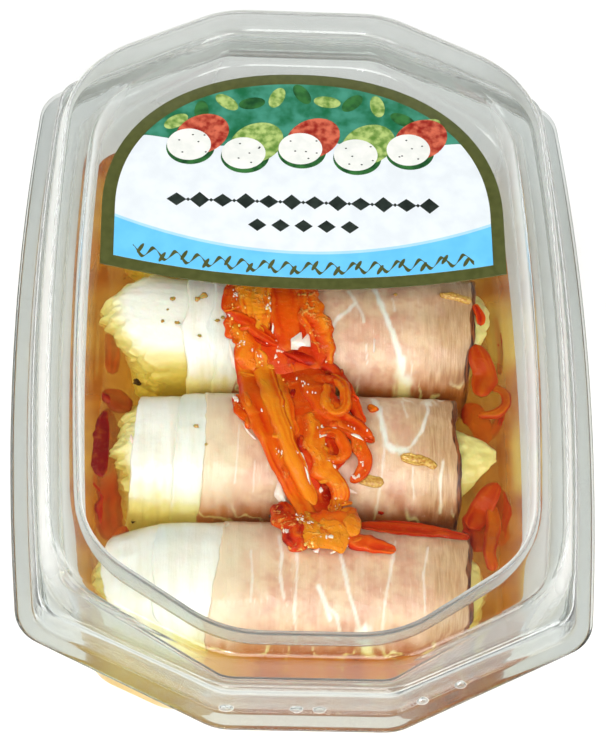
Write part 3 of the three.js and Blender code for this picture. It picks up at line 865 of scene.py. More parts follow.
def picture_shapes(top):
    """Five round slices, each on an oval, with dots and small leaves round them."""
    rounds, reds, leaves, dots, shades = [], [], [], [], []
    for k, (centre, up) in enumerate(((-29, 1), (-14.6, -1.4), (0.4, 0.6), (15, -1), (29, 1.2))):
        height = SLICES_Y + up
        wraps = (reds, leaves)[k % 2]
        wraps.append(oval(centre + 2.4, height + 3.6, 7.8, 6, 40, top + (3 + k % 2) * LAYER))
        rounds.append(oval(centre - 1, height, 5.8, 5.2, 10, top + 5 * LAYER))
        shades.append(oval(centre - 0.6, height - 0.9, 6.4, 5.6, 10, top + 2 * LAYER))
        for n in range(6):
            spot = (centre + 3.6 * math.sin(9 * n + k), height + 3.2 * math.cos(5 * n + k))
            dots.append(oval(*spot, 0.28, 0.2, 0, top + 6 * LAYER))
    for k in range(11):
        x, y = -33.5 + 6.7 * k, LEAVES_Y + 9 * math.cos(0.3 * (k - 5)) + k % 3
        (leaves, shades)[k % 2].append(oval(x, y, 3.6, 1.9, 35 + 53 * k, top + 2 * LAYER))
    return rounds, reds, leaves, dots, shades


def scroll_shapes(top):
    """A wavy line along the band, thick and thin by turns, with short leaves on it."""
    x = np.linspace(-44, 44, 400)
    wave = WAVE_Y + WAVE_BULGE * (x / LABEL_HALF_WIDTH) ** 2 + 1.5 * np.sin(x * 1.1)
    thick = 0.42 + 0.3 * np.sin(x * 2.2)
    scroll = [strip_film(x, wave - thick, wave + thick, top + 2 * LAYER)]
    for k in range(16):
        place = -42 + 5.6 * k
        height = WAVE_Y + WAVE_BULGE * (place / LABEL_HALF_WIDTH) ** 2
        scroll.append(oval(place, height + 0.8 * (-1) ** k, 1.7, 0.5, 62, top + 3 * LAYER))
    return scroll


def add_label():
    """Sheet with its print in thin layers: border, ground, band, picture, scroll and rows of lozenges."""
    inks = {name: make_print(f"{name} print", *ink) for name, ink in INKS.items()}
    top = LABEL_Z + LABEL_THICKNESS
    middle = np.array([0, 46])
    inner = label_outline(LABEL_BORDER)
    sheet = film(middle, label_outline(), LABEL_Z, LABEL_THICKNESS)
    band, glow = band_shapes(inner, top)
    arch = inner[(inner[:, 1] > FIELD_LOW_Y) & (np.arange(len(inner)) < ARCH_POINTS)][::-1]
    waves = FIELD_LOW_Y + 1.5 * np.cos(arch[:, 0] / 7)
    green = strip_film(arch[:, 0], waves, arch[:, 1].clip(FIELD_LOW_Y), top + LAYER)
    rounds, reds, leaves, dots, shades = picture_shapes(top)
    signs = [lozenge(-33 + 6 * k, SIGNS_Y, 2.6, 2.1 + 0.4 * (k % 2), top + LAYER) for k in range(12)]
    signs += [lozenge(-30 + 6 * k, SIGNS_Y, 0.6, 0.6, top + LAYER) for k in range(11)]
    signs += [lozenge(-12 + 6 * k, SMALL_SIGNS_Y, 2.4, 2, top + LAYER) for k in range(5)]
    layers = {
        "olive": [sheet, *scroll_shapes(top)], "white": [film(middle, inner, top)], "sky blue": [band],
        "pale blue": [glow], "green": [green], "moss": shades, "rose": reds, "leaf": leaves,
        "cream": rounds, "dark": signs + dots,
    }
    add_piece("label_print", [(inks[name], shapes) for name, shapes in layers.items()], ["label"],
              rounded=False)


# ------------------------------------------------------------------ rolls

@dataclass
class Roll:
    """One roll. Edges and veins are (x, arc) points, arc being millimetres round the roll from its crest
    towards the far side. Each vein is its half width and its points."""

    y: float
    wrap_from: float
    wrap_to: float
    cheese_from: float
    cheese_to: float
    layers: tuple
    narrow: float
    left_edge: list
    lean_edge: list
    rind_edge: list
    cheese_left: list
    cheese_right: list
    right_insets: tuple  # at the tip and where the wrap begins
    right_rough: float
    veins: list


ROLLS = [
    Roll(
        -59.3, -45.5, 43, -49, 47, (12, 24), 3.4,
        left_edge=[(-48, 20), (-49.5, 5), (-49, -10), (-46, -30)],
        lean_edge=[(-19, 20), (-20, 10), (-21.5, 0), (-23.5, -15), (-24, -30)],
        rind_edge=[(42.5, 20), (42.5, 10), (42, 0), (41.5, -12), (42, -30)],
        cheese_left=[(-49.5, 20), (-51.6, 6), (-52, -4), (-51.4, -14), (-49.6, -30)],
        cheese_right=[(43, 20), (45.5, 8), (46, -2), (45, -12), (45, -30)],
        right_insets=(9, 3.4), right_rough=0.4,
        veins=[
            (0.45, [(-6, 9), (-5.3, 3), (-5.8, -3), (-4.8, -9)]),
            (0.4, [(-1.5, 6), (-1.7, -2), (-2.3, -12), (-1.5, -20)]),
            (0.55, [(8, 10), (9.5, 1), (11, -7), (13.5, -15), (15, -23)]),
            (0.4, [(23, 8), (21.7, 0), (20, -9), (19.3, -19)]),
            (0.7, [(3.5, -6), (5.2, -10), (6.5, -14)]),
            (0.5, [(5.2, -10), (8, -13), (9, -17)]),
            (0.3, [(-13, 4), (-12.6, -4), (-13, -10)]),
            (0.3, [(31, 6), (29.5, -2), (30, -12)]),
            (2.0, [(15, -17), (17, -27)]),
        ],
    ),
    Roll(
        -20.9, -42.5, 41, -48.5, 50, (10.5, 18), 1,
        left_edge=[(-41, 20), (-42, 10), (-42.5, 0), (-43.5, -12), (-44, -30)],
        lean_edge=[(-25, 20), (-24.5, 8), (-24.8, 0), (-25.5, -12), (-26.5, -30)],
        rind_edge=[(40.5, 20), (40.3, 8), (39.4, 3), (40, -2), (40.8, -8), (40.6, -20), (40, -30)],
        cheese_left=[(-45, 20), (-46, 10), (-46.5, 2), (-48.3, -5), (-46.4, -12), (-47, -18), (-46, -30)],
        cheese_right=[
            (38, 20), (39.5, 9), (41, 6), (47.6, 2.5), (50, -1), (50, -5), (41, -19), (39, -25), (38, -30),
        ],
        right_insets=(4.6, 3.2), right_rough=0.3,
        veins=[
            (0.9, [(18.5, 15), (19.8, 9), (20.4, 2), (21.3, -3)]),
            (1.2, [(21.3, -3), (23.5, -4.2), (26, -4.2)]),
            (0.5, [(33, 14), (32.2, 8), (30.6, 2), (27.6, -3), (25.5, -4.4)]),
            (1.1, [(33.5, 16), (32.8, 12)]),
            (0.35, [(20.8, -4), (20, -12), (18.7, -25)]),
            (0.3, [(26, 13), (26.3, 9), (27, 6)]),
            (0.3, [(28, -9), (28, -13), (28.6, -17)]),
            (0.4, [(35.6, -7), (35, -12), (35.5, -21)]),
            (0.25, [(-16, 2), (-16.5, -6), (-17, -14)]),
            (0.25, [(-12, -8), (-12.4, -16)]),
        ],
    ),
    Roll(
        17.5, -35.5, 46.5, -52.5, 51, (7, 13), 1,
        left_edge=[(-29, 20), (-29.5, 8), (-29.5, 0), (-31.5, -6), (-30, -14), (-29.5, -30)],
        lean_edge=[(-12, 20), (-13, 8), (-14, 0), (-16, -12), (-18, -30)],
        rind_edge=[(47, 20), (46.6, 8), (46, 0), (45.3, -10), (44.5, -20), (44, -30)],
        cheese_left=[
            (-45, 20), (-49, 12), (-52, 5), (-51.6, -1), (-50, -7), (-48, -14), (-45, -20), (-43, -30),
        ],
        cheese_right=[(48, 20), (50, 10), (50.4, 2), (48.6, -7), (46.4, -15), (44, -30)],
        right_insets=(5, 3), right_rough=0.4,
        veins=[
            (0.8, [(19, 9), (20.8, 2), (23, -4), (25, -10), (26.2, -15)]),
            (1.6, [(26, -14), (26.6, -18), (27, -24)]),
            (2.4, [(27, -19), (27.3, -27)]),
            (0.6, [(12.5, 6), (14.3, 2), (12, -0.8), (9.3, -3.2), (7.6, -7), (8.2, -12)]),
            (0.45, [(14.3, 2), (16, -1.5), (16.4, -4)]),
            (0.25, [(29, -14), (29.3, -20)]),
            (0.25, [(17, -10), (17.4, -15)]),
            (0.3, [(24, 4), (24.6, 0)]),
        ],
    ),
    Roll(
        55.9, -42, 43.5, -49.5, 48.5, (10, 18), 2,
        left_edge=[(-42, 20), (-42.6, 6), (-42, -8), (-41.5, -30)],
        lean_edge=[(-22, 20), (-23, 6), (-23.6, -8), (-24, -30)],
        rind_edge=[(43.5, 20), (43, 6), (43.6, -8), (43, -30)],
        cheese_left=[(-48, 20), (-49, 4), (-48, -10), (-47, -30)],
        cheese_right=[(47, 20), (48, 4), (47, -10), (46, -30)],
        right_insets=(9, 3.4), right_rough=0.6,
        veins=[
            (0.8, [(2, 16), (4, 6), (3.4, -4), (6, -16)]),
            (0.5, [(4, 6), (9, 1), (13, -8)]),
            (0.7, [(24, 14), (22, 3), (25, -12)]),
            (0.4, [(-12, 10), (-10, -2), (-11, -14)]),
        ],
    ),
]

SECTION_ANGLES = np.linspace(0, 2 * math.pi, 1441)


def superellipse(angle, half_width, half_height):
    """Section y = a sgn(cos) |cos|^(2/n), z = b sgn(sin) |sin|^(2/n)."""
    power = 2 / ROLL_SQUARENESS
    c, s = np.cos(angle), np.sin(angle)
    return half_width * np.sign(c) * np.abs(c) ** power, half_height * np.sign(s) * np.abs(s) ** power


def section_arc():
    """Distance round the full section from its crest at each of SECTION_ANGLES, + towards +y."""
    y, z = superellipse(SECTION_ANGLES, ROLL_HALF_WIDTH, ROLL_HALF_HEIGHT)
    run = np.concatenate([[0], np.cumsum(np.hypot(np.diff(y), np.diff(z)))])
    crest = np.interp(math.pi / 2, SECTION_ANGLES, run)
    return crest - run


SECTION_ARC = section_arc()


def arc_at(angle):
    """Distance round the roll from its crest, between minus and plus half the way round."""
    whole = SECTION_ARC[0] - SECTION_ARC[-1]
    arc = np.interp(angle % (2 * math.pi), SECTION_ANGLES, SECTION_ARC)
    return np.where(arc < -whole / 2, arc + whole, arc)


def even_angles(count):
    """Angles at even steps round the section."""
    run = SECTION_ARC[0] - SECTION_ARC
    return np.interp(np.arange(count) / count * run[-1], run, SECTION_ANGLES)


ROLL_ANGLES = even_angles(220)  # at the points round a wrap or a core
ROLL_ARC = arc_at(ROLL_ANGLES)


def narrowing(roll, x):
    """How much less than the full section a roll is near its ends: narrow t^2, t past the start."""
    return roll.narrow * (np.maximum(np.abs(x) - NARROW_START, 0) / NARROW_LENGTH) ** 2


def roll_points(roll, x, angle, inset):
    """Points of the roll's section at x, an inset inside the full one."""
    x, angle, inset = np.broadcast_arrays(x, angle, inset)
    less = inset + narrowing(roll, x)
    y, z = superellipse(angle, ROLL_HALF_WIDTH - less, ROLL_HALF_HEIGHT - less)
    return np.stack([x, roll.y + y, ROLL_Z + z], -1)


def edge_x(points, seed, wave):
    """x all round a roll of an edge that passes the given (x, arc) points, with small random waves."""
    table = np.array(sorted(points, key=lambda point: point[1]), float)
    x = np.interp(ROLL_ARC, table[:, 1], table[:, 0])
    broad, fine = joined(ROLL_ARC / 6, 0, 0), joined(ROLL_ARC / 1.7, 0, 0)
    return x + wave * lattice(broad, seed) + 0.35 * wave * lattice(fine, seed + 5)


def line_mask(x, arc, half_width, points):
    """1 on a broken line through (x, arc) points and 0 past its half width, with a ragged side."""
    table = np.array(points, float)
    start, step = table[:-1], np.diff(table, axis=0)
    away = np.stack([x, arc], -1)[..., None, :] - start
    share = ((away * step).sum(-1) / (step**2).sum(-1)).clip(0, 1)
    distance = np.linalg.norm(away - share[..., None] * step, axis=-1).min(-1)
    ragged = 0.35 * half_width * lattice(joined(x / 0.8, arc / 2.2, 0), 31)
    return 1 - smooth(0.3, 1.3, (distance + ragged) / half_width)


def slice_points(roll, number, left, right, inset, thickness, rows):
    """Points of a thin slice wound once round a roll, and their x along it before any fold. The outside runs
    from the left to the right edge, which are rounded over, and the inside runs back. Soft folds and
    fibres press the outside in and out."""
    arc = ROLL_ARC
    seed = 10 * number + int(roll.y) % 7
    share = (1 - np.cos(np.linspace(0, math.pi, rows))) / 2
    share = 0.6 * share + 0.4 * np.linspace(0, 1, rows)
    x = left + (right - left) * share[:, None]
    near_edge = np.minimum(x - left, right - x)
    over = 1 - (near_edge / EDGE_ROUND).clip(0, 1)
    rounding = 0.5 * thickness * (1 - np.sqrt(1 - over**2))
    place = joined(x / 9, arc / 11, roll.y)
    fold = 0.35 * lattice(place, seed) + 0.14 * lattice(place * 3.1, seed + 1)
    streak = 0.05 * lattice(joined(x / 0.9, arc / 8, roll.y), seed + 2)
    lift = 0.3 * smooth(2.5, 0, x - left) * lattice(joined(arc / 5, 0, 0), seed + 3)
    outside = roll_points(roll, x, ROLL_ANGLES, inset + rounding - (fold + streak + lift) * (1 - over))
    back = left + (right - left) * share[::-8, None]
    inside = roll_points(roll, back, ROLL_ANGLES, inset + thickness)
    return np.concatenate([outside, inside]), np.concatenate([x, back])


def fat_mask(roll, x, arc):
    """Veins of fat, and random threads of it away from the crest."""
    fat = np.zeros(x.shape)
    for half_width, vein in roll.veins:
        fat = np.maximum(fat, min(0.95, 0.3 + 0.8 * half_width) * line_mask(x, arc, half_width, vein))
    place = joined(x / 7, arc / 16, roll.y)
    thread = lattice(place, 71) + 0.25 * lattice(place * 4, 72)
    sides = smooth(14, 20, np.abs(arc + 4))
    return np.maximum(fat, sides * (1 - smooth(0.02, 0.07, np.abs(thread))))


def wrap_masks(roll, points, x, left, right, fatty):
    """Masks of a slice: fat, paler flesh by the left edge, the dark rind and smoked flesh by the right edge,
    and low on the roll, where oil soaks the surface yellow and a painted shade darkens the lean."""
    arc = np.broadcast_to(ROLL_ARC, x.shape)
    from_right = right - x
    rough = lattice(joined(x / 1.5, arc / 3, 0), 73)
    lean = 0.0 if fatty else 1.0
    return {
        "around": arc,
        "pale": 0.9 * lean * (1 - smooth(1, 18, x - left + 3 * rough)),
        "fat": np.ones(x.shape) if fatty else fat_mask(roll, x, arc),
        "rind": lean * (1 - smooth(0.6, 1.7, from_right + 0.5 * rough)),
        "smoked": 0.85 * lean * (1 - smooth(4, 17, from_right + 3 * rough)),
        "oiled": 1 - smooth(OIL_Z - 3, OIL_Z + 7, points[..., 2] + 2 * rough),
    }


def add_wrap(roll, number):
    """Three slices, each stepping up over the one to its left. The left two are fat, the last is lean. A
    plan is a slice's edges, inset, thickness, tuck under the next slice, whether it is fat, and its rows."""
    first = [(x + roll.layers[0], arc) for x, arc in roll.left_edge]
    plan = [
        (roll.left_edge, first, 2 * SLICE_STEP, 1.4, 8, True, 50),
        (first, roll.lean_edge, SLICE_STEP, 0.9, 8, True, 50),
        (roll.lean_edge, roll.rind_edge, 0, 0.8, 0, False, 190),
    ]
    bodies = []
    for k, (left_edge, right_edge, inset, thickness, tuck, fatty, rows) in enumerate(plan):
        seed = 40 * number + 7 * k
        left = edge_x(left_edge, seed, EDGE_WAVE)
        right = edge_x(right_edge, seed + 3, EDGE_WAVE) + tuck
        points, x = slice_points(roll, number + k, left, right, inset, thickness, rows)
        masks = wrap_masks(roll, points, x, left, right, fatty)
        bodies.append(grid_body(points, loop_rows=True, masks=masks))
    add_piece(f"bacon_wrap_{number}", [(BACON, bodies)], [f"bacon_{number}"])


def cheese_inset(distance, show, tip, foot):
    """How far the cheese lies inside the full section, from tip at its end to foot where the wrap begins."""
    t = (distance / show).clip(0, 1)
    return foot + (tip - foot) * (1 - np.sqrt(1 - (1 - t) ** 2.4))


def add_cheese(roll, number):
    """Core of soft cheese with a ragged, lumpy end past each edge of the wrap."""
    end_rows = 64
    left, right = edge_x(roll.cheese_left, 11, 0.3), edge_x(roll.cheese_right, 12, 0.3)
    left_show, right_show = 9, roll.cheese_to - roll.wrap_to + 3
    step = np.linspace(0, 1, end_rows)[:, None] ** 1.4
    inner = np.linspace(0.05, 0.95, 6)[:, None]
    left_end, right_end = left + left_show, right - right_show
    x = np.concatenate([
        left + left_show * step,
        left_end + (right_end - left_end) * inner,
        right - right_show * step[::-1],
    ])
    left_inset = cheese_inset(x - left, left_show, 9, 1.9)
    right_inset = cheese_inset(right - x, right_show, *roll.right_insets)
    inset = np.where(x < 0, left_inset, right_inset)
    height = roll_points(roll, x, ROLL_ANGLES, inset)[..., 2]
    smooth_top = smooth(31, 36, height) * smooth(2, 7, x - left) * (x < 0)
    place = joined(x / 5, ROLL_ARC / 5, roll.y)
    ridged = 1 - 2 * np.abs(lattice(place * 2.2, 200 + number))
    crumbs = 0.7 * fractal(place, 90 + number, 3) + 0.5 * ridged
    rough = np.where(x < 0, 1, roll.right_rough)
    open_left = smooth(roll.wrap_from + 5, roll.wrap_from - 2, x)
    open_right = smooth(roll.wrap_to - 3, roll.wrap_to + 1, x)
    loose = (open_left + open_right) * rough * (1 - 0.85 * smooth_top)
    x = x + 1.3 * loose * fractal(place * 2.2 + 9, 120 + number, 3)
    inset = inset + 0.8 * (1 - open_left - open_right) - crumbs * (0.12 + 0.95 * loose)
    points = roll_points(roll, x, ROLL_ANGLES, inset)
    masks = {
        "pale": smooth_top,
        # Darker and yellower low on the roll: oil soaking it, and a painted shade.
        "oiled": 1 - smooth(OIL_Z + 1, OIL_Z + 8, height + 1.5 * crumbs),
    }
    coats = [(CHEESE, [grid_body(points, masks=masks)])]
    add_piece(f"cheese_core_{number}", coats, [f"cheese_{number}"])


# ------------------------------------------------------------------ resting on the rolls

def rolls_height(x, y):
    """Height of the rolls' upper side at x, y, and of their middle where there is no roll."""
    top = np.full(np.broadcast(x, y).shape, float(ROLL_Z))
    for roll in ROLLS:
        less = narrowing(roll, x)
        share = np.abs(y - roll.y) / (ROLL_HALF_WIDTH - less)
        rise = (1 - share.clip(0, 1) ** ROLL_SQUARENESS) ** (1 / ROLL_SQUARENESS)
        on_roll = (x > roll.wrap_from - 2) & (x < roll.wrap_to + 1)
        top = np.where(on_roll, np.maximum(top, ROLL_Z + (ROLL_HALF_HEIGHT - less) * rise), top)
    return top


SAG = 0.05  # how soon a strip sags between rolls, per millimetre


def resting_height(y):
    """Height at which a soft strip lies at y: the highest of the rolls' tops less SAG t^2, t along y."""
    reach = np.arange(-19, 19.5, 0.5)
    tops = rolls_height(0.0, np.asarray(y)[..., None] + reach)
    return (tops - SAG * reach**2).max(-1) + 2 * GAP


def settled(x, y, lift, height, rounds=8):
    """Points seen at x, y of the flange's plane, moved down the line of sight until they rest on height."""
    at_x, at_y = x, y
    for _ in range(rounds):
        z = height(at_x, at_y) + lift
        at_x, at_y = lowered(x, y, z)
    return np.stack([at_x, at_y, z], -1)


# ------------------------------------------------------------------ pepper strips

def through(points, count):
    """Catmull-Rom curve through the rows of points, at even steps of its parameter."""
    table = np.array(points, float)
    padded = np.concatenate([2 * table[:1] - table[1:2], table, 2 * table[-1:] - table[-2:-1]])
    t = np.linspace(0, len(table) - 1, count)
    k = np.minimum(t.astype(int), len(table) - 2)
    f = (t - k)[:, None]
    a, b, c, d = (padded[k + n] for n in range(4))
    return 0.5 * (2 * b + (c - a) * f + (2 * a - 5 * b + 4 * c - d) * f**2 + (3 * b - a - 3 * c + d) * f**3)


def strip_body(centre, width, thickness, red, seed, arch=0.0, twist=0.0, pulp=0.0, columns=28):
    """Ribbon of flesh along a centre line, each row with its own width. Its section is a flat superellipse,
    arched by arch millimetres, turned by twist degrees from end to end and pressed by random ridges along
    it. Pulp makes it torn and lumpy."""
    rows = len(centre)
    along = np.gradient(centre, axis=0)
    along /= np.linalg.norm(along, axis=1, keepdims=True)
    across = np.cross(along, [0, 0, 1])
    across /= np.linalg.norm(across, axis=1, keepdims=True).clip(1e-6)
    up = np.cross(across, along)
    t = np.linspace(0, 1, rows)
    turn = np.radians(twist) * (t - 0.5)
    side = np.cos(turn)[:, None] * across + np.sin(turn)[:, None] * up
    top = np.cos(turn)[:, None] * up - np.sin(turn)[:, None] * across
    angle = np.linspace(0, 2 * math.pi, columns, endpoint=False)
    c, s = np.cos(angle), np.sin(angle)
    run = np.concatenate([[0], np.cumsum(np.linalg.norm(np.diff(centre, axis=0), axis=1))])
    from_end = np.minimum(run, run[-1] - run)
    torn = min(1, 5 * pulp)
    share = (from_end / ((0.7 - 0.35 * torn) * width)).clip(0, 1)
    tip = ((share * (2 - share)) ** 0.6).clip(0.1)
    place = joined(run / 3.4, 0, seed)
    half = width / 2 * tip * (1 + (0.08 + 0.12 * torn) * fractal(place, seed, 2))
    centre = centre + ((0.03 + 0.08 * torn) * width * fractal(place + 7, seed, 2))[:, None] * side
    crease = lattice(joined(run[:, None] / 14, c * 2.4, s * 0.5 + seed), seed + 1)
    ridges = 1 - 3 * np.abs(crease)
    fine = lattice(joined(run[:, None] / 1.2, c * 3.2, s + seed), seed + 2)
    sideways = half[:, None] * np.sign(c) * np.abs(c) ** 0.8
    upward = (thickness / 2 * tip)[:, None] * np.sign(s) * np.abs(s) ** 0.8
    upward = upward + arch * (1 - c**2) + 0.24 * ridges + (0.06 + 0.5 * pulp) * np.abs(fine) * (s > 0)
    points = centre[:, None] + sideways[..., None] * side[:, None] + upward[..., None] * top[:, None]
    skin = 0.12 * np.abs(c) ** 8
    # The hue is redder where the ridges sink into creases, a painted shade there.
    hue = (red + 0.06 + skin - 0.22 * ridges - 0.25 * pulp * fine).clip(0, 1)
    return grid_body(points, masks={"red": hue, "pulp": min(1, 1.5 * pulp)})


LIFT_SHARE, WIDTH_SHARE = 0.8, 1.2  # scales of all lifts and widths in the tables of strips
SUNK_DEPTH = 1.6


def laid_strip(points, thickness, red, seed, height, **form):
    """Strip over what carries it. Points are seen x, seen y, lift above what carries it, and width."""
    table = np.array(points, float) * (1, 1, LIFT_SHARE, WIDTH_SHARE)
    route = settled(table[:, 0], table[:, 1], table[:, 2] + thickness / 2, height)
    length = np.linalg.norm(np.diff(route, axis=0), axis=1).sum()
    rows = through(np.column_stack([route, table[:, 3]]), max(14, int(length * 2)))
    return strip_body(rows[:, :3], rows[:, 3], thickness, red, seed, **form)


def over_rolls(x, y):
    """What carries the strips of the bundle."""
    return resting_height(y)


def in_oil(x, y):
    """Level at which scraps float just under the oil."""
    return np.full(np.shape(x), OIL_Z - SUNK_DEPTH)


# Strips of the bundle: their points, thickness, redness and pulp.
BUNDLE = [
    ([(-8, 78, 0, 20), (-8, 50, 0, 20), (-7, 25, 0, 20), (-5, 8, 0, 19), (-2, -8, 0, 16)], 2, 0.7, 0.1),
    ([(-3, -4, 0, 14), (0, -18, 0, 15), (3, -30, 0, 14), (4, -42, 0, 10), (5, -53, 0, 9)], 2, 0.66, 0.2),
    ([(-16, 72, 0.6, 5), (-16.5, 45, 0.8, 5), (-17.6, 22, 0.8, 3.6), (-18, 13, 1, 4),
      (-16.6, 5, 1, 4.6)], 1.8, 0.45, 0.3),
    ([(-12, 66, 0.8, 7), (-12.6, 42, 1, 7), (-13.4, 22, 1.4, 5), (-13.4, 14, 1.4, 4.4),
      (-12.8, 10, 1, 3.6)], 2, 0.08, 0.5),
    ([(-8, 62, 0.8, 6), (-9.4, 40, 1, 6), (-10.6, 21, 1.6, 4.6), (-10.4, 12, 1.6, 4.2),
      (-9.6, 4, 1.2, 3.4)], 2, 0.14, 0.7),
    ([(-17, 10, 0.8, 5), (-15, 4, 1, 6), (-12.6, -1.5, 1.2, 6), (-11, -6, 1, 4)], 2, 0.3, 0.4),
    ([(-19.6, 12.6, 1, 2.2), (-15, 11, 2, 3.2), (-11, 7.8, 2.2, 3.6), (-7.6, 4.6, 2, 3),
      (-5.4, 3, 1.4, 2)], 1.4, 0.6, 0.05),
    ([(-13, 7, 1.6, 2), (-10.4, 5.4, 1.9, 3.4), (-7.6, 3.4, 1.4, 2.6)], 1.4, 0.85, 0),
    ([(-16.2, 4, 1, 3), (-14.6, -5, 1.4, 4.4), (-12.6, -13, 1.8, 5), (-10.4, -20, 2, 5),
      (-7.8, -27, 2, 4.6), (-5, -34.5, 2, 4.4), (-1.8, -41.5, 1.8, 4.4), (0.6, -47, 1.6, 4),
      (1.6, -51.5, 0.8, 3)], 1.8, 0.34, 0),
    ([(-11.6, 2, 1.4, 3.6), (-10, -5, 1.8, 5), (-8, -12.5, 2.2, 5), (-6.2, -19, 2.4, 4.4),
      (-4.2, -26, 2.4, 4), (-1.8, -32.5, 2.2, 4.4), (0.6, -39.5, 2, 4),
      (2.4, -45, 1.6, 3)], 1.8, 0.2, 0.03),
    ([(-8, 0, 1.6, 2.6), (-6.4, -5.6, 1.8, 3.2), (-5, -12, 2, 3.2), (-3.8, -18, 2, 3),
      (-3, -24.6, 1.6, 3)], 1.6, 0.16, 0.12),
    ([(-5, 60, 0.8, 8), (-5, 38, 1, 8), (-5, 21, 1.4, 7), (-4.2, 12, 1.6, 7), (-3, 4, 1.4, 6.4),
      (-2, 0, 1, 5)], 1.8, 0.52, 0),
    ([(2, 62, 0.8, 6), (0, 40, 1, 6.4), (0.4, 21, 1.4, 6), (2.6, 14, 1.8, 6.4), (4.2, 7, 1.8, 5.4),
      (5.6, 1, 1.4, 4), (6.2, -2.4, 0.8, 2.6)], 2, 0.34, 0.6),
    ([(-8, 0.6, 1, 3), (-5.6, -1.6, 1.2, 4.4), (-4, -6, 1.2, 4.4), (-2.8, -11, 1, 4),
      (-2.4, -15, 0.6, 2.6)], 1.4, 0.98, 0),
    ([(-5.6, 1.6, 1.6, 3), (-1, 1, 2, 4.4), (4, -1.6, 2, 4), (8.4, -4.8, 2, 3),
      (11, -9, 1.8, 2.4)], 1.4, 0.88, 0),
    ([(-3, 0, 2, 4), (0.6, -4.4, 2.4, 6.6), (3.6, -10, 2.6, 7), (6.4, -15, 2.6, 6.4), (10, -19, 2.2, 4.8),
      (14, -21.8, 1.8, 3.6), (17.4, -24.6, 1, 2.4)], 1.6, 0.5, 0.02),
    ([(9, -5.4, 2.2, 2.6), (11.4, -10.6, 2.2, 3), (13.2, -15.4, 1.6, 2.8),
      (15.6, -20, 1, 2)], 1.4, 0.6, 0.1),
    ([(7, -6.2, 3, 3), (9.6, -7.6, 3, 3), (11, -11, 3, 2.6), (10.6, -15.6, 3, 2.6), (7.6, -17, 3, 2.6),
      (5.6, -13.4, 3, 2.4), (6.6, -9, 3, 2.4)], 1.4, 0.3, 0.25),
    ([(4.6, -19.4, 1.8, 2.6), (9, -20.6, 2.2, 3.8), (13.6, -22.6, 1.8, 3),
      (18, -25.4, 0.8, 1.6)], 1.4, 0.66, 0.05),
    ([(11, -21.6, 1.6, 2.6), (13.6, -25.6, 1.6, 3.4), (15.2, -30, 1.4, 3), (14.6, -34.6, 1, 2.6),
      (11.6, -37.4, 0.8, 1.8)], 1.4, 0.5, 0.15),
    ([(4, -23.8, 1.8, 1.8), (6.4, -22.8, 2.4, 2.2), (9, -24, 2.4, 2.4), (10.2, -27.6, 2.2, 2.6),
      (8.6, -31.2, 2, 2.4), (5.4, -30.6, 2, 2), (4.2, -27.4, 1.8, 1.8)], 1.4, 0.45, 0.25),
    ([(6, -25.4, 1.4, 3.4), (7.4, -29, 1.4, 3.4)], 1.2, 0.62, 0.3),
    ([(2, -17, 1.2, 4), (2.8, -23, 1.4, 4.8), (3.6, -29, 1.8, 4.8), (5.6, -34.6, 2, 4.8),
      (8, -39, 2.2, 4.6), (8.6, -43.4, 2, 4.4), (6.6, -46.6, 1.4, 3.4)], 1.8, 0.24, 0.35),
    ([(-1, -24, 1.6, 3), (0.6, -30, 1.8, 3), (1.8, -36, 1.6, 3.2), (3.2, -42, 1.2, 3.4),
      (4.4, -46, 0.8, 3)], 1.4, 0.82, 0.05),
    ([(-17.2, -12.4, 0.4, 2), (-15, -16.6, 0.8, 3.4), (-12.2, -20.6, 0.8, 3.4), (-9.4, -25.4, 0.6, 2.6),
      (-7.6, -28.6, 0.4, 1.8)], 1.6, 0.46, 0.5),
    ([(-6.4, -44.6, 0.6, 3.4), (-4.6, -49, 1, 5.4), (-2.4, -53.4, 1.2, 6.2),
      (-0.4, -57.6, 0.4, 5)], 2.2, 0.62, 0.9),
    ([(-0.2, -46.6, 1.6, 4), (1.8, -51.4, 2, 5.4), (2.6, -56.8, 1, 5)], 2, 0.12, 0.6),
    ([(-1, -48, 1.8, 4), (4, -49.6, 2.4, 5.4), (9.4, -48.6, 2, 4.8),
      (13.4, -46.8, 1.4, 3.4)], 1.8, 0.42, 0.15),
    ([(10.4, -45.4, 1.6, 3.4), (12, -49.2, 1.8, 4), (11.2, -53.4, 1.4, 3.6)], 1.6, 0.16, 0.2),
    ([(1.4, -54, 1, 5), (6, -53.2, 2, 6.6), (11, -52.4, 1.6, 5.6)], 2, 0.06, 0.35),
    ([(9.6, -52.6, 0.8, 3), (14, -54.6, 1, 3.6), (18.4, -55.8, 0.8, 3.2),
      (22.6, -56.8, 0.4, 2)], 1.6, 0.56, 0.1),
]

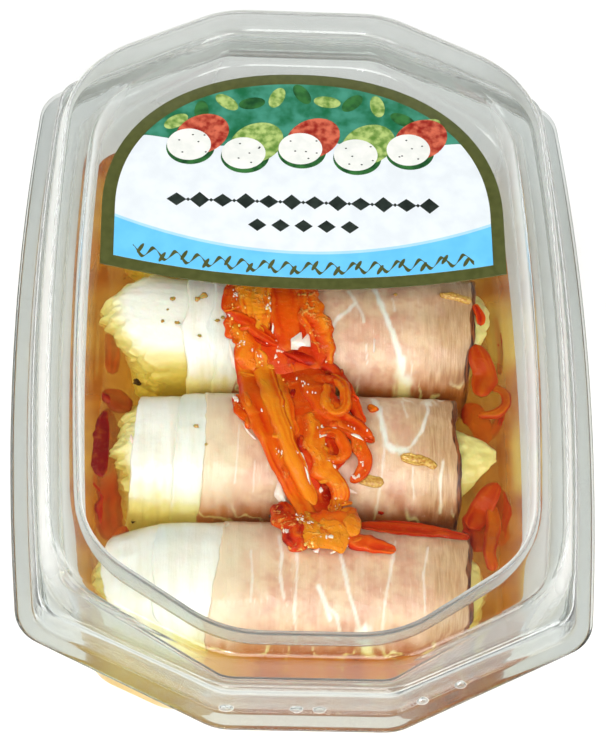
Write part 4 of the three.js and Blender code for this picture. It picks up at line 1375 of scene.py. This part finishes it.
# Strips apart from the bundle, by the CAD node that they stand for.
LOOSE = {
    "pepper_strip_1": [
        ([(13.4, -49.6, 0, 2), (19, -50, 0, 2.8), (26, -50.6, 0, 3.2), (34, -51.4, -0.2, 2.4),
          (41, -52.6, -1, 1.2)], 1, 0.6, 0.06),
    ],
    "pepper_strip_2": [
        ([(44.6, 5, -1.4, 3), (46, 0, -0.8, 4.6), (46.6, -5, -0.8, 5),
          (45.4, -11, -2, 4.4)], 1, 0.36, 0.08),
        ([(44.4, -9, -1.4, 1.8), (48, -7.6, -0.8, 2), (51.4, -9.4, -1, 2), (52, -13, -1.8, 2),
          (49.4, -16, -2.8, 2), (44.6, -16.6, -3.4, 1.6)], 1, 0.24, 0.1),
    ],
    "pepper_strip_3": [
        ([(48.6, -36.4, -3.6, 2.6), (46, -40.6, -3, 4.6), (43.6, -45, -3.4, 5.2),
          (41, -50, -4.6, 4)], 1, 0.4, 0.1),
        ([(46.8, -43, -4.6, 2.4), (47, -50, -4.6, 3.4), (45.6, -56, -4.6, 3),
          (46.4, -62, -5.4, 2.2)], 1, 0.3, 0.1),
    ],
}

# Scraps sunk in the oil at both ends of the rolls, given as the strips are.
SUNK = [
    ([(-49.6, 6, 1, 2), (-48.6, 0, 1.4, 3), (-48.6, -7, 1, 2.6)], 1.2, 0.86, 0.12),
    ([(-50.6, -12, 1, 2.6), (-47.6, -14.4, 1.6, 4.6), (-43.6, -17.6, 1, 4)], 1.2, 0.95, 0.12),
    ([(-49.6, -17.6, 0.6, 3), (-49.8, -24, 1.4, 5), (-50.4, -31, 1.4, 5.6),
      (-50, -38, 1, 5)], 1.2, 1, 0.12),
    ([(-50.2, -34, 1, 4.4), (-48.4, -42, 1.4, 5.4), (-48.6, -50, 1.2, 5.4),
      (-46.6, -56, 0.6, 4)], 1.2, 0.8, 0.12),
    ([(-44, -52, 1, 3), (-47, -57, 1, 3)], 1.2, 0.6, 0.1),
    ([(41.6, -13.4, 1, 4), (44.4, -18, 1.6, 5.6), (46.6, -25, 1, 4)], 1.2, 0.5, 0.12),
    ([(50.4, 14, 1, 1.2), (51.2, 4, 1.4, 1.4), (50.6, -4, 1, 1.2)], 1, 0.9, 0.12),
    ([(40.4, -46, 1, 4), (42.6, -51, 1.6, 6), (42, -57, 1, 5)], 1.2, 0.6, 0.12),
    ([(48, -38, 1, 4), (48, -46, 1.4, 6), (46.4, -55, 1, 6)], 1, 0.44, 0.12),
    ([(46, -24, 1, 2), (49, -20, 1.4, 2), (51, -14, 1, 1.6)], 1, 0.7, 0.12),
]

# Soft scraps on the rolls, the first of them yellow.
YELLOW_SCRAPS = 3
SCRAPS = [
    ([(24.4, -29.4, -0.6, 1.4), (27.4, -30.4, -0.5, 2.4), (31, -31.2, -0.5, 2.6),
      (33.6, -32, -0.7, 1.6)], 1, 0, 0.8),
    ([(13.6, -36, -0.8, 2), (17, -36.8, -0.7, 2.8), (20, -37.6, -0.8, 1.6)], 1, 0.12, 0.3),
    ([(36, 20.2, -0.6, 1.2), (40, 19.6, -0.5, 1.8), (44.4, 18.4, -0.5, 2)], 0.9, 0.2, 0.8),
    ([(45, 17.6, -0.6, 2), (46.6, 14, -0.4, 2.4), (46.4, 11, -0.6, 1.6)], 1, 0.6, 0.3),
    ([(17, -14.6, -0.6, 1.6), (18.4, -16.4, -0.6, 2)], 0.9, 0.3, 0.3),
    ([(18.6, -46, -0.6, 1.6), (21, -45.2, -0.6, 1.4)], 0.8, 0.8, 0),
]

# Flat films of a near-white material, painted highlights for the light caught by wet surfaces: lift and
# outline.
FILMS = [
    (0.5, [(-19, 6), (-18.3, 2), (-16.9, -2), (-16, -5.5), (-17.8, -4), (-18.7, -0.5)]),
    (3.6, [(-3.8, 5.5), (-2.6, 5.6), (-1, 7), (-0.2, 7.4), (0.2, 4.2), (1, 4.4), (1.2, 6.8), (1.8, 6.6),
           (2.2, 1.4), (1, 2.2), (-2.8, 2)]),
    (2.8, [(-1.3, -9.5), (-0.6, -8.6), (0.2, -11), (0.6, -12.8), (-0.6, -12)]),
    (1, [(7.2, 5.2), (7.8, 4.6), (8.6, 1.2), (7.2, 0.9)]),
    (3.6, [(-7.6, 15), (-7.2, 15), (-7.1, 10.5), (-7.5, 6.8), (-8, 6.8), (-7.6, 10.5)]),
    (0.4, [(-6.3, -36.8), (-5.8, -37), (-5.2, -40), (-3.6, -45.5), (-4, -46.2), (-7.4, -42)]),
    (3.6, [(0.2, -26.5), (1.2, -25.8), (2.4, -27), (1.8, -28.8), (0.6, -28.2)]),
    (3.8, [(-0.8, -29), (-0.3, -29.2), (0.9, -33), (1.7, -38.8), (1.1, -38.8), (0.2, -33.4)]),
    (2.8, [(3.5, -40), (4.2, -39), (4.8, -40), (3.9, -41)]),
    (0.6, [(10.2, -37.5), (11, -39), (13.4, -40.6), (11.6, -40.6), (10.6, -39.4)]),
    (3.4, [(6.2, -31.8), (8, -32.6), (8, -33.6), (6.8, -33)]),
    (2.4, [(11.8, -35.2), (12.8, -35.4), (12.4, -36.4)]),
    (3.2, [(11.2, -17), (13, -18.3), (15, -19.6), (15, -20), (12.8, -18.8), (11.2, -17.5)]),
    (3.4, [(11.8, -22.6), (14, -23.4), (15.2, -25), (13.8, -24.4), (12, -23.4)]),
    (4, [(7.2, -21.4), (8.2, -21.2), (8.5, -22), (7.2, -22)]),
    (4, [(4, -24), (6, -23.1), (8.6, -22.9), (8.8, -23.4), (6, -23.7), (4.2, -24.5)]),
    (4, [(8.6, -23.4), (9.1, -23.4), (9.5, -25.6), (9.1, -25.6)]),
    (2, [(6.2, -57.8), (8, -56.6), (10.6, -55.4), (10.6, -56), (8.2, -57.2), (6.4, -58.2)]),
    (1.6, [(2, -57.2), (3.6, -56.4), (3.4, -57.8), (2.4, -57.8)]),
    (0.6, [(-15.6, -20.2), (-13.8, -22.8), (-11.8, -25.4), (-12.4, -25.4), (-14.2, -23.4)]),
    (2.2, [(15.8, -31.2), (15.2, -34.6), (13, -36.6), (12.6, -36.2), (14.6, -34.4), (15.4, -31.2)]),
    (3.6, [(-4.6, -26.4), (-4.1, -26.6), (-3.2, -29), (-3.7, -29)]),
    (3.2, [(-7.2, -1.4), (-6.8, -1.6), (-5.2, -4.6), (-5.6, -4.6)]),
    (3.8, [(7.4, -42), (8.4, -41.4), (9, -43.4), (8.2, -45.2), (7.4, -44.6), (8.2, -43.2)]),
    (0.5, [(18.4, 6), (18.9, 6), (18.6, 2), (18.2, 2)]),
    (0.3, [(-43.4, -24.6), (-42.8, -25.6), (-42.9, -27.4), (-43.7, -26.2)]),
]


def strips(plan, seed, height=over_rolls):
    """The strips of a plan, each with a twist and an arch of its own."""
    bodies = []
    for k, (points, thickness, red, pulp) in enumerate(plan):
        form = {"twist": 24 * math.sin(3.7 * k + seed), "arch": 0.35 * math.cos(2.3 * k + seed), "pulp": pulp}
        bodies.append(laid_strip(points, thickness, red, seed + 17 * k, height, **form))
    return bodies


def wet_film(lift, outline):
    """Thin body between an outline's middle and its sides, laid at a lift over the rolls."""
    table = np.array(outline, float)
    sides = through(np.concatenate([table, table[:1]]), 6 * len(table) + 1)[:-1]
    sides = 0.6 * sides + 0.4 * np.repeat(table, 6, 0)
    middle = np.broadcast_to(sides.mean(0), sides.shape)
    layers = (middle, 0), (sides, 0), (sides, 0.2), (middle, 0.3)
    rows = [settled(*xy.T, lift + up, over_rolls) for xy, up in layers]
    return grid_body(np.array(rows), loop_rows=True)


def pebble(centre, size, seed, rows=7, columns=9, rough=0.3):
    """Small lump: a sphere stretched to size along x, y and z, and pressed by a random field."""
    polar = np.linspace(0, math.pi, rows + 2)[1:-1, None]
    angle = np.linspace(0, 2 * math.pi, columns, endpoint=False)
    unit = joined(np.sin(polar) * np.cos(angle), np.sin(polar) * np.sin(angle), np.cos(polar))
    swell = 1 + rough * lattice(unit * 1.7 + seed, seed)
    return grid_body(centre + unit * swell[..., None] * np.asarray(size))


def seen_length(table):
    """Length of the line through a table's x and y."""
    return np.hypot(*np.diff(table[:, :2], axis=0).T).sum()


def rows_at(table, t):
    """The table's rows at each t, where whole numbers are rows and the rest lies evenly between them."""
    k = t.astype(int)
    return table[k] + (t - k)[:, None] * (table[k + 1] - table[k])


def pulp_beads(plan, seed):
    """Small beads of pulp scattered over the strips that have it."""
    draw = np.random.default_rng(seed)
    beads = []
    for points, thickness, _, pulp in plan:
        table = np.array(points, float)
        count = int(1.1 * max(pulp - 0.08, 0) * seen_length(table))
        spots = rows_at(table, draw.uniform(0, 1, count) * (len(table) - 1))
        spots[:, 0] += draw.uniform(-0.42, 0.42, count) * spots[:, 3]
        places = settled(spots[:, 0], spots[:, 1], LIFT_SHARE * spots[:, 2] + thickness, over_rolls)
        sizes = draw.uniform(0.18, 0.4, count)
        beads += [
            pebble(place, (size, size * 1.4, size * 0.7), seed + number)
            for number, (place, size) in enumerate(zip(places, sizes))
        ]
    return beads


SHOWN_Y = 26  # beyond it the bundle lies under the label


def torn_bits(plan, seed):
    """Short torn bits strewn over the strips outside the label, and nests of small near-white flecks on them,
    painted glints.
    """
    draw = np.random.default_rng(seed)
    bits, specks = [], []
    for points, thickness, red, pulp in plan[2:]:
        table = np.array(points, float)
        table = table[table[:, 1] < SHOWN_Y]
        length, last = seen_length(table), len(table) - 1.01
        for number in range(int(length / 8)):
            x, y, lift, width = rows_at(table, np.array([draw.uniform(0, last)]))[0]
            x += draw.uniform(-0.5, 0.5) * width
            turn, reach = draw.uniform(0, math.pi), draw.uniform(1.2, 2.8)
            dx, dy = reach * math.cos(turn), reach * math.sin(turn)
            lift += 0.7 * thickness
            size = draw.uniform(1, 2.2)
            shape = [
                (x - dx, y - dy, lift - 0.5, 0.6 * size),
                (x, y, lift, size),
                (x + dx, y + dy, lift - 0.6, 0.5 * size),
            ]
            hue = min(max(red + draw.uniform(-0.3, 0.3), 0), 1)
            bits.append(laid_strip(shape, 0.9, hue, seed + number, over_rolls, pulp=0.3, columns=16))
        count = int((0.4 + 1.4 * pulp) * length)
        nest = draw.choice(draw.uniform(0, last, max(1, int(length / 8))), count)
        spots = rows_at(table, (nest + draw.normal(0, 0.1, count)).clip(0, last))
        spots[:, 0] += (0.4 * np.sin(40 * nest) + draw.normal(0, 0.1, count)) * spots[:, 3]
        places = settled(spots[:, 0], spots[:, 1], LIFT_SHARE * spots[:, 2] + thickness + 0.1, over_rolls)
        for number, place in enumerate(places):
            size = draw.uniform(0.12, 0.3)
            specks.append(pebble(place, (size, size * draw.uniform(1, 3), 0.4 * size), number, 4, 6))
    return bits, specks


def add_bundle():
    # The near-white films and flecks are painted highlights, glints off the wet pepper.
    films = [wet_film(LIFT_SHARE * lift, outline) for lift, outline in FILMS]
    bits, specks = torn_bits(BUNDLE, 8)
    coats = [(PEPPER, strips(BUNDLE, 300) + bits), (SEED, pulp_beads(BUNDLE, 5)), (GLINT, films + specks)]
    add_piece("pepper_strips", coats, ["pepper_bundle"])


def add_loose_strips():
    for k, (node, plan) in enumerate(LOOSE.items()):
        add_piece(node.replace("strip", "ribbon"), [(SOAKED, strips(plan, 500 + 40 * k))], [node])
    add_piece("sunk_scraps", [(SOAKED, strips(SUNK, 700, in_oil))])
    soft = make_crumb("soft yellow scrap", (184, 122, 36), (218, 178, 84))
    yellow = strips(SCRAPS[:YELLOW_SCRAPS], 800, rolls_height)
    red = strips(SCRAPS[YELLOW_SCRAPS:], 840, rolls_height)
    add_piece("soft_scraps", [(soft, yellow), (PEPPER, red)])


# ------------------------------------------------------------------ crumbs

# Crumbs: x and y at which they are seen in the flange's plane, and size.
PEPPERCORNS = [(-42.3, -10, 1.2), (-42.5, -50.2, 1.3), (-8, -48, 1.1), (2, -56.6, 0.7), (50.2, 11.5, 0.7)]
HERBS = [
    (-25.8, 18, 1.3), (-27.2, 17, 0.8), (-33.5, 17, 0.8), (-36, 9.8, 0.6), (-32.3, 9.4, 0.8),
    (-26.4, 5.6, 0.6), (-34.8, 13.5, 0.5), (-46.5, 22, 0.9), (-27, -21.8, 0.7), (-24.4, -27.2, 0.6),
    (24.5, 20.2, 0.7), (-22, 10.5, 0.8), (-20.5, 11.5, 0.7), (17.8, -15.8, 0.8), (27, -45, 0.6),
]


def scattered(table, flat, seed):
    """Lumps on the rolls at seen places."""
    table = np.array(table, float)
    places = settled(table[:, 0], table[:, 1], 0.25 * table[:, 2], rolls_height)
    return [
        pebble(place, (0.8 * size, 0.7 * size, flat * size), seed + k, 9, 12, 0.7)
        for k, (place, size) in enumerate(zip(places, table[:, 2]))
    ]


def add_crumbs():
    add_piece("peppercorns", [(SPICE, scattered(PEPPERCORNS, 0.8, 60))])
    add_piece("herb_flakes", [(HERB, scattered(HERBS, 0.35, 80))])


# ------------------------------------------------------------------ oil

def add_oil():
    """Oil from the floor up to its level, a gap deep into the tub's wall. Its top rises where it meets the
    rolls and the wall, by a height that falls off as exp(-distance / OIL_CREEP). It is clear where it thins
    out round the rolls, and yellow by the ends of the rolls and at the near left."""
    into = GAP
    level = (OIL_Z - FOOT_Z) / (FLANGE_Z + LAND_RISE - MOUTH_ROUND - FOOT_Z)
    top = between(BASE, MOUTH, level)
    side = divided(softened(np.array([
        ring(BASE, -6, WALL - into),
        ring(BASE, -1.8 + into, 1.9 - into),
        ring(BASE, into, FOOT_Z),
        ring(top, into, OIL_Z + WALL_CREEP),
    ]), 1.2), 5)
    points = outline_points(side)
    share = np.linspace(1, 0.01, 110)[1:, None, None]
    surface = points[-1:] * (1, 1, 0) * share
    x, y = surface[..., 0], surface[..., 1]
    from_wall = (1 - share[..., 0]) * MEAN_OIL_HALF_WIDTH
    rise = WALL_CREEP * np.exp(-from_wall / OIL_CREEP) * np.ones(x.shape)
    nearest = np.full(x.shape, 99.0)
    high = (OIL_Z - ROLL_Z) / ROLL_HALF_HEIGHT
    half = ROLL_HALF_WIDTH * (1 - high**ROLL_SQUARENESS) ** (1 / ROLL_SQUARENESS)
    for roll in ROLLS:
        away = np.hypot(
            np.maximum(np.abs(y - roll.y) - half, 0),
            np.maximum(np.maximum(roll.cheese_from - x, x - roll.cheese_to), 0),
        )
        rise = np.maximum(rise, ROLL_CREEP * np.exp(-away / OIL_CREEP))
        nearest = np.minimum(nearest, away)
    surface[..., 2] = OIL_Z + rise
    whole = np.concatenate([points, surface])
    beside = np.min([np.abs(whole[..., 1] - roll.y) for roll in ROLLS], axis=0)
    whole_x, whole_y = whole[..., 0], whole[..., 1]
    third = 0.85 * smooth(48, 51, whole_x) * smooth(-2, 6, whole_y)
    right = np.maximum(smooth(53.5, 56.5, whole_x), third)
    ends = smooth(13, 7, beside) * np.where(whole_x > 0, right, 0.35)
    corner = smooth(-62, -68, whole_y) * smooth(-8, -24, whole_x)
    cloud = np.maximum(smooth(0.4, 4, nearest), 0.75 * smooth(42, 46, np.abs(x)))
    masks = {
        "cloud": np.concatenate([np.ones(points.shape[:2]), cloud]),
        "yellow": np.maximum(ends, 0.85 * corner),
    }
    add_piece("oil_pool", [(OIL, [grid_body(whole, masks=masks)])], ["oil"])


# ------------------------------------------------------------------ stage

def add_floor():
    material, tree, shader = new_material("pale floor", Specular_IOR_Level=0.2, Roughness=0.8)
    tone, normal = uneven(tree, 40, 0.02, 0.1)
    colour = mixed(tree, tone, (0.94, 0.94, 0.94, 1), (0.96, 0.96, 0.96, 1))
    feed(tree, shader, Base_Color=colour, Normal=normal)
    half = 3.0
    mesh = bpy.data.meshes.new("floor")
    below = -0.1 * MM
    corners = [(-half, -half, below), (half, -half, below), (half, half, below), (-half, half, below)]
    mesh.from_pydata(corners, [], [(0, 1, 2, 3)])
    mesh.materials.append(material)
    floor = bpy.data.objects.new("floor", mesh)
    bpy.context.scene.collection.objects.link(floor)


def add_lamp(name, place, target, width, height, power):
    data = bpy.data.lights.new(name, "AREA")
    data.shape = "RECTANGLE"
    data.size, data.size_y, data.energy = width, height, power
    lamp = bpy.data.objects.new(name, data)
    turn = (Vector(target) - Vector(place)).to_track_quat("-Z", "Y").to_matrix().to_4x4()
    lamp.matrix_world = Matrix.Translation(Vector(place)) @ turn
    bpy.context.scene.collection.objects.link(lamp)


def add_lights():
    world = bpy.data.worlds.new("studio")
    world.use_nodes = True
    tree = world.node_tree
    direction = add_node(tree, "ShaderNodeTexCoord").outputs["Generated"]
    mirrored = (-VIEW_BACK[0], -VIEW_BACK[1], VIEW_BACK[2])
    away = add_node(tree, "ShaderNodeVectorMath", {0: direction, 1: mirrored}, operation="DOT_PRODUCT")
    strength = ranged(tree, away.outputs["Value"], 0.75, 0.95, 0.4, 0.03)
    tree.links.new(strength, tree.nodes["Background"].inputs["Strength"])
    tree.nodes["Background"].inputs["Color"].default_value = (1, 1, 1, 1)
    bpy.context.scene.world = world
    add_lamp("overhead", (-0.2, -0.85, 1.1), (0, 0, 0.04), 1.1, 0.8, 16)
    add_lamp("small key", (-0.12, -0.5, 1.25), (0, 0, 0.04), 0.1, 0.1, 2.4)
    add_lamp("front right", (0.75, -0.75, 0.6), (0, 0, 0.05), 0.5, 0.7, 7)
    add_lamp("left", (-0.9, 0.05, 0.7), (0, 0, 0.05), 0.3, 0.8, 4)
    bpy.context.scene.view_settings.view_transform = "Standard"
    bpy.context.scene.cycles.transparent_max_bounces = 16


# ------------------------------------------------------------------ assembly

add_camera()
add_tub()
add_lid()
add_bumps()
add_label()
for number, roll in enumerate(ROLLS, 1):
    add_wrap(roll, number)
    add_cheese(roll, number)
add_bundle()
add_loose_strips()
add_oil()
add_crumbs()
add_floor()
add_lights()
